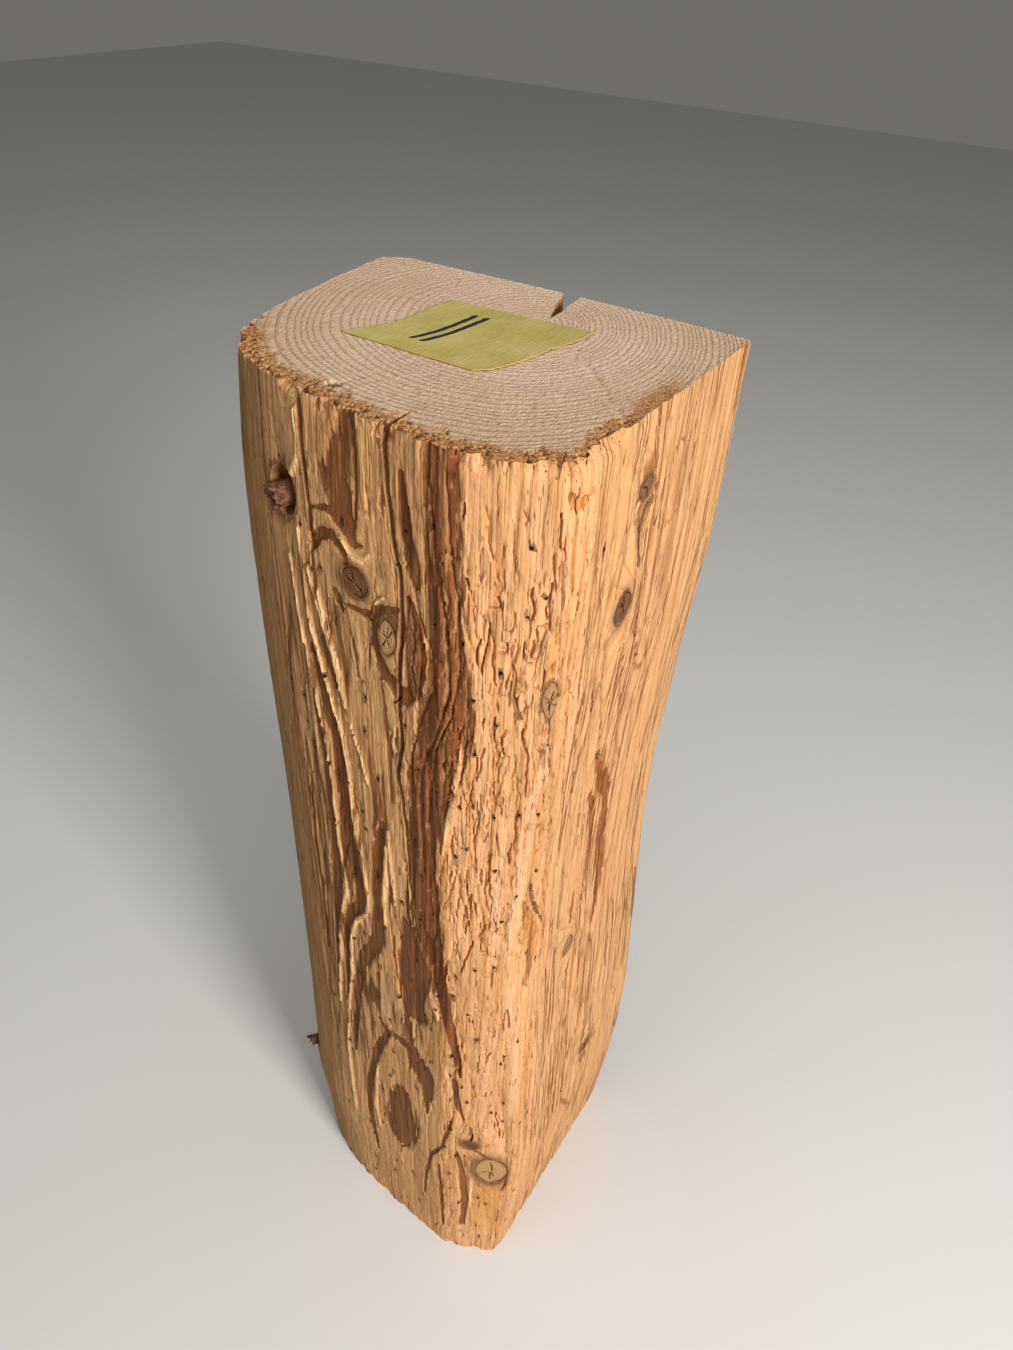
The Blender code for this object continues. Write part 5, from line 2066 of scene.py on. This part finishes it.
@dataclass
class BranchStubs:
    """Branches broken off short, with splintered ends."""

    skin: Skin
    around: int = 40
    splinters: dict[str, tuple[tuple[float, ...], ...]] = field(default_factory=lambda: {
        # place on the end: across, up (shares of the radius); then length and droop in mm
        "branch_stub_upper": ((0.45, -0.55, 4.2, -3.4), (-0.5, 0.4, 2.0, 0.8),
                              (0.1, 0.7, 1.6, 1.0)),
        "branch_stub_lower": ((0.1, -0.7, 1.5, -5.2), (-0.4, 0.3, 1.4, 0.2)),
    })

    def shaft(self, stub: StubSpec, seed: int) -> Mesh:
        """The branch itself, from its root to its torn end.

        Args:
            stub: The branch.
            seed: Picks its roughness.

        Returns:
            A closed mesh.
        """
        origin, axis, side = self.skin.radial_frame(stub.facing, stub.height)
        up = np.array([0.0, 0.0, 1.0])
        rng = np.random.default_rng(seed)
        turn = np.linspace(0, 2 * np.pi, self.around, endpoint=False)
        lumps = sum(rng.uniform(-1, 1) * np.cos(n * turn + rng.uniform(0, 6.3)) / n
                    for n in (2, 3, 5, 8, 11))
        rings = []
        for distance in np.concatenate([[-stub.root, -stub.hollow_depth],
                                        np.linspace(-stub.hollow_depth + 0.001, 0, 6)]):
            fade = 0.0 if distance < -stub.hollow_depth else 1.0
            wide = stub.radius * (0.97 + fade * (0.05 * lumps + rng.uniform(-0.02, 0.02,
                                                                            self.around)))
            rings.append(origin + axis * distance + np.outer(np.cos(turn) * wide, side)
                         + np.outer(np.sin(turn) * wide, up))
        for share in (1.0, 0.86, 0.7, 0.54, 0.38, 0.22, 0.08):
            wide = stub.radius * share * (0.95 + 0.05 * lumps)
            jag = rng.uniform(-1, 1, self.around)
            jag = (jag + np.roll(jag, 1)) * 0.5
            lift = stub.proud * (0.45 + 0.5 * jag * share + 0.35 * np.cos(turn - 2.0) * share)
            lift = np.clip(lift, 0.0003, stub.proud)
            rings.append(origin + np.outer(lift, axis) + np.outer(np.cos(turn) * wide, side)
                         + np.outer(np.sin(turn) * wide, up))
        return closed_mesh(stub.node, np.concatenate(rings), ring_faces(len(rings), self.around))

    def splinter(self, stub: StubSpec, place: tuple[float, ...]) -> Mesh:
        """A torn splinter: a flat, tapering sliver that leaves the branch's end.

        Args:
            stub: The branch.
            place: Where on the end it starts, its length and its droop.

        Returns:
            A closed mesh.
        """
        origin = self.skin.section.point(stub.facing, stub.height)
        facing = math.radians(stub.facing)
        axis = np.array([math.cos(facing), math.sin(facing), 0.0])
        side = np.array([-math.sin(facing), math.cos(facing), 0.0])
        up = np.array([0.0, 0.0, 1.0])
        across, high, length, droop = place
        start = (origin + side * across * stub.radius + up * high * stub.radius
                 + axis * stub.proud * 0.25)
        rings = []
        for t in np.linspace(0, 1, 7):
            middle = (start + axis * length * MM * t * (1 - 0.45 * t) + up * droop * MM * t * t
                      + side * 0.6 * MM * math.sin(3 * t))
            wide, thick = (1 - t) ** 0.7 * 0.0011 + 0.00012, (1 - t) ** 0.6 * 0.0006 + 0.0001
            turn = np.linspace(0, 2 * np.pi, 8, endpoint=False)
            rings.append(middle + np.outer(np.cos(turn) * wide, side)
                         + np.outer(np.sin(turn) * thick, up * 0.7 + axis * 0.7))
        return closed_mesh("splinter", np.concatenate(rings), ring_faces(len(rings), 8))

    def build(self) -> list[Object]:
        """Build both stubs.

        Returns:
            The finished pieces.
        """
        wood = RoughWood("branch_wood", (0.200, 0.092, 0.046), (0.070, 0.030, 0.016),
                         (0.380, 0.215, 0.120), (500, 500, 500)).build()
        made = []
        for k, stub in enumerate(STUBS):
            meshes = [self.shaft(stub, 800 + k)]
            meshes += [self.splinter(stub, place) for place in self.splinters[stub.node]]
            parts = [new_object("stub_part", mesh) for mesh in meshes]
            for part in parts:
                part.data.materials.append(wood)
            piece = join_meshes(f"torn_{stub.node}", parts)
            piece.data.shade_smooth()
            piece.data.set_sharp_from_angle(angle=math.radians(40))
            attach(piece, BODY)
            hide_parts(stub.node)
            made.append(piece)
        return made


# ======================================================================= label
@dataclass
class TapeLabel:
    """A torn strip of creped paper tape, stuck across the top end."""

    height: float = 0.490
    right_end: tuple[Station, ...] = (
        (0.0149, -0.0173), (0.0196, -0.0125), (0.0240, 0.0016), (0.0256, 0.0120),
        (0.0294, 0.0275), (0.0297, 0.0340),
    )
    left_end: tuple[Station, ...] = (
        (-0.0347, -0.0147), (-0.0279, -0.0010), (-0.0254, 0.0107), (-0.0252, 0.0223),
        (-0.0234, 0.0327),
    )
    thickness: float = 0.00028
    across: int = 110
    along: int = 96
    bars: tuple[tuple[float, float, float, float], ...] = (
        (0.30, 0.22, 0.30, 0.80), (0.38, 0.22, 0.38, 0.80),
    )

    def end_line(self, outline: tuple[Station, ...], share: np.ndarray) -> np.ndarray:
        """Points along one end, from the front edge to the back edge."""
        path = np.array(outline)
        length = np.concatenate([[0], np.cumsum(np.hypot(*np.diff(path, axis=0).T))])
        stops = tuple(zip(length / length[-1], path[:, 0])), tuple(zip(length / length[-1],
                                                                       path[:, 1]))
        return np.stack([smooth_curve(stops[0], share), smooth_curve(stops[1], share)], -1)

    def build(self, skin: Skin) -> Object:
        """Build the tape.

        Args:
            skin: Gives the noise for its wrinkles.

        Returns:
            The finished piece.
        """
        back = np.linspace(0, 1, self.along)
        left, right = self.end_line(self.left_end, back), self.end_line(self.right_end, back)
        rng = np.random.default_rng(3)
        tear = np.convolve(rng.uniform(-1, 1, (2, self.along))[0], np.ones(3) / 3, "same")
        fine = np.convolve(rng.uniform(-1, 1, (2, self.along))[1], np.ones(2) / 2, "same")
        share = np.linspace(0, 1, self.across)
        left = left + (0.35 * tear * MM)[:, None] * np.array([1.0, 0.1])
        right = right + (0.35 * fine * MM)[:, None] * np.array([1.0, 0.1])
        flat = left[None] + (right - left)[None] * share[:, None, None]
        x, y = flat[..., 0] / MM + 150, flat[..., 1] / MM + 150
        wrinkle = (0.06 * skin.noise(x, y, (9, 16), 91) + 0.045 * skin.noise(x, y, (1.1, 7), 92)
                   + 0.02 * skin.noise(x, y, (0.9, 0.9), 93))
        edge = np.minimum(share, 1 - share)[:, None] * 60
        curl = 0.12 * np.exp(-edge / 2.0) * (0.6 + 0.4 * skin.noise(x, y, (5, 5), 94))
        top = self.height + 0.00055 + (wrinkle + curl - 0.05) * MM
        top = np.minimum(top, self.height + 0.0007)
        upper = np.concatenate([flat, top[..., None]], -1).reshape(-1, 3)
        lower = upper - np.array([0, 0, self.thickness])
        lower[:, 2] = np.maximum(lower[:, 2], self.height + 0.0001)
        count = self.along
        first = len(upper)

        def at(i: int, j: int) -> int:
            """Number of an upper point."""
            return i * count + j

        faces = []
        for i in range(self.across - 1):
            for j in range(count - 1):
                a, b, c, d = at(i, j), at(i + 1, j), at(i + 1, j + 1), at(i, j + 1)
                faces.append((a, b, c, d))
                faces.append((d + first, c + first, b + first, a + first))
        rim = [at(i, 0) for i in range(self.across)]
        rim += [at(self.across - 1, j) for j in range(1, count)]
        rim += [at(i, count - 1) for i in range(self.across - 2, -1, -1)]
        rim += [at(0, j) for j in range(count - 2, 0, -1)]
        for a, b in zip(rim, rim[1:] + rim[:1]):
            faces.append((b, a, a + first, b + first))
        mesh = mesh_from("creped_tape", np.concatenate([upper, lower]), faces)
        turn_faces_out(mesh)
        ink = self.ink(share[:, None], back[None, :]).ravel()
        set_mark(mesh, "ink", np.concatenate([ink, ink * 0]))
        mesh.materials.append(PaperTape().build())
        mesh.shade_smooth()
        mesh.set_sharp_from_angle(angle=math.radians(60))
        piece = new_object("creped_tape", mesh)
        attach(piece, BODY)
        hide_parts("tape_label")
        return piece

    def ink(self, share: np.ndarray, back: np.ndarray) -> np.ndarray:
        """Where the two plain felt-pen bars are: 1 on a bar's middle, 0 off it."""
        ink = np.zeros(np.broadcast(share, back).shape)
        for u0, v0, u1, v1 in self.bars:
            du, dv = (u1 - u0) * 56, (v1 - v0) * 48
            u, v = (share - u0) * 56, (back - v0) * 48
            t = np.clip((u * du + v * dv) / (du * du + dv * dv), 0, 1)
            gap = np.hypot(u - t * du, v - t * dv)
            ink = np.maximum(ink, 1 - smooth_step(0.7, 1.5, gap))
        return ink


# ======================================================================= studio
@dataclass(frozen=True)
class Studio:
    """The floor, the camera and the lights."""

    camera_place: tuple[float, float, float] = (0.1585494, -0.2512429, 0.597)
    forward: tuple[float, float, float] = (-0.36928768, 0.68495955, -0.62805813)
    right: tuple[float, float, float] = (0.861088, 0.50637565, 0.04594741)
    up: tuple[float, float, float] = (-0.34950546, 0.52384551, 0.77680874)
    lens: float = 25.333
    sensor: float = 36.0
    floor_half: float = 4.0

    def add_camera(self) -> None:
        """Place the camera and make it the scene's."""
        data = bpy.data.cameras.new("camera")
        data.sensor_fit, data.sensor_height, data.sensor_width = "AUTO", self.sensor, self.sensor
        data.lens, data.clip_start = self.lens, 0.01
        camera = bpy.data.objects.new("camera", data)
        back = tuple(-v for v in self.forward)
        turn = Matrix((self.right, self.up, back)).transposed().to_4x4()
        camera.matrix_world = Matrix.Translation(self.camera_place) @ turn
        bpy.context.scene.collection.objects.link(camera)
        bpy.context.scene.camera = camera

    def add_light(self, name: str, place: tuple[float, float, float], size: float, power: float,
                  colour: Colour) -> None:
        """A square soft light that faces the middle of the post.

        Args:
            name: The light's name.
            place: Where it stands.
            size: Length of its side, in metres.
            power: Its power in watts.
            colour: Its colour.
        """
        data = bpy.data.lights.new(name, "AREA")
        data.size, data.energy, data.color = size, power, colour
        light = bpy.data.objects.new(name, data)
        light.location = place
        towards = Vector((0.0, 0.0, 0.28)) - Vector(place)
        light.rotation_euler = towards.to_track_quat("-Z", "Y").to_euler()
        bpy.context.scene.collection.objects.link(light)

    def build(self) -> None:
        """Set up the whole studio."""
        self.add_camera()
        half = self.floor_half
        corners = np.array([(-half, -half, 0), (half, -half, 0), (half, half, 0), (-half, half, 0)])
        floor = new_object("floor", mesh_from("floor", corners, [(0, 1, 2, 3)]))
        floor.data.materials.append(Floor().build())
        self.add_light("window", (1.22, -0.55, 0.85), 0.42, 23.0, (1.0, 0.965, 0.93))
        self.add_light("sky", (0.1, -0.3, 1.9), 1.2, 11.0, (0.97, 0.98, 1.0))
        self.add_light("fill", (-1.0, -1.5, 0.9), 1.4, 1.3, (1.0, 0.95, 0.86))
        world = bpy.data.worlds.new("room")
        world.use_nodes = True
        world.node_tree.nodes["Background"].inputs[0].default_value = (1.0, 0.95, 0.87, 1.0)
        world.node_tree.nodes["Background"].inputs[1].default_value = 0.16
        bpy.context.scene.world = world
        bpy.context.scene.view_settings.view_transform = "Standard"


def main() -> None:
    """Build every piece in order and hand the scene over."""
    logging.basicConfig(level=logging.INFO, format="%(name)s: %(message)s")
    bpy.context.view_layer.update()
    skin = Skin(Section())
    torn = RoughWood("torn_wood", (0.56, 0.29, 0.11), (0.30, 0.13, 0.045), (0.66, 0.42, 0.20))
    # painted shade: the worm holes' walls are coloured near black
    bore = RoughWood("worm_bore", (0.10, 0.045, 0.018), (0.05, 0.022, 0.010), (0.20, 0.10, 0.04))
    crumb = RoughWood("crumbled_wood", (0.46, 0.19, 0.055), (0.22, 0.08, 0.024), (0.62, 0.34, 0.13))
    fibre = RoughWood("fibre", (0.72, 0.40, 0.17), (0.50, 0.25, 0.09), (0.80, 0.52, 0.26))
    post = TimberBody(skin)
    timber = post.build([SideWood().build(), EndGrain().build(), torn.build(), bore.build()],
                        crumb.build(), fibre.build())
    for piece in (timber, *post.loose):
        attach(piece, BODY)
        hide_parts("timber")
    made = [timber, *post.loose, *DeadKnots(skin).build(), BarkPocket(skin).build(),
            *BranchStubs(skin).build(), TapeLabel().build(skin)]
    for piece in made:
        LOG.info("%s: %d faces", piece.name, len(piece.data.polygons))
    Studio().build()


if __name__ == "__main__":
    main()
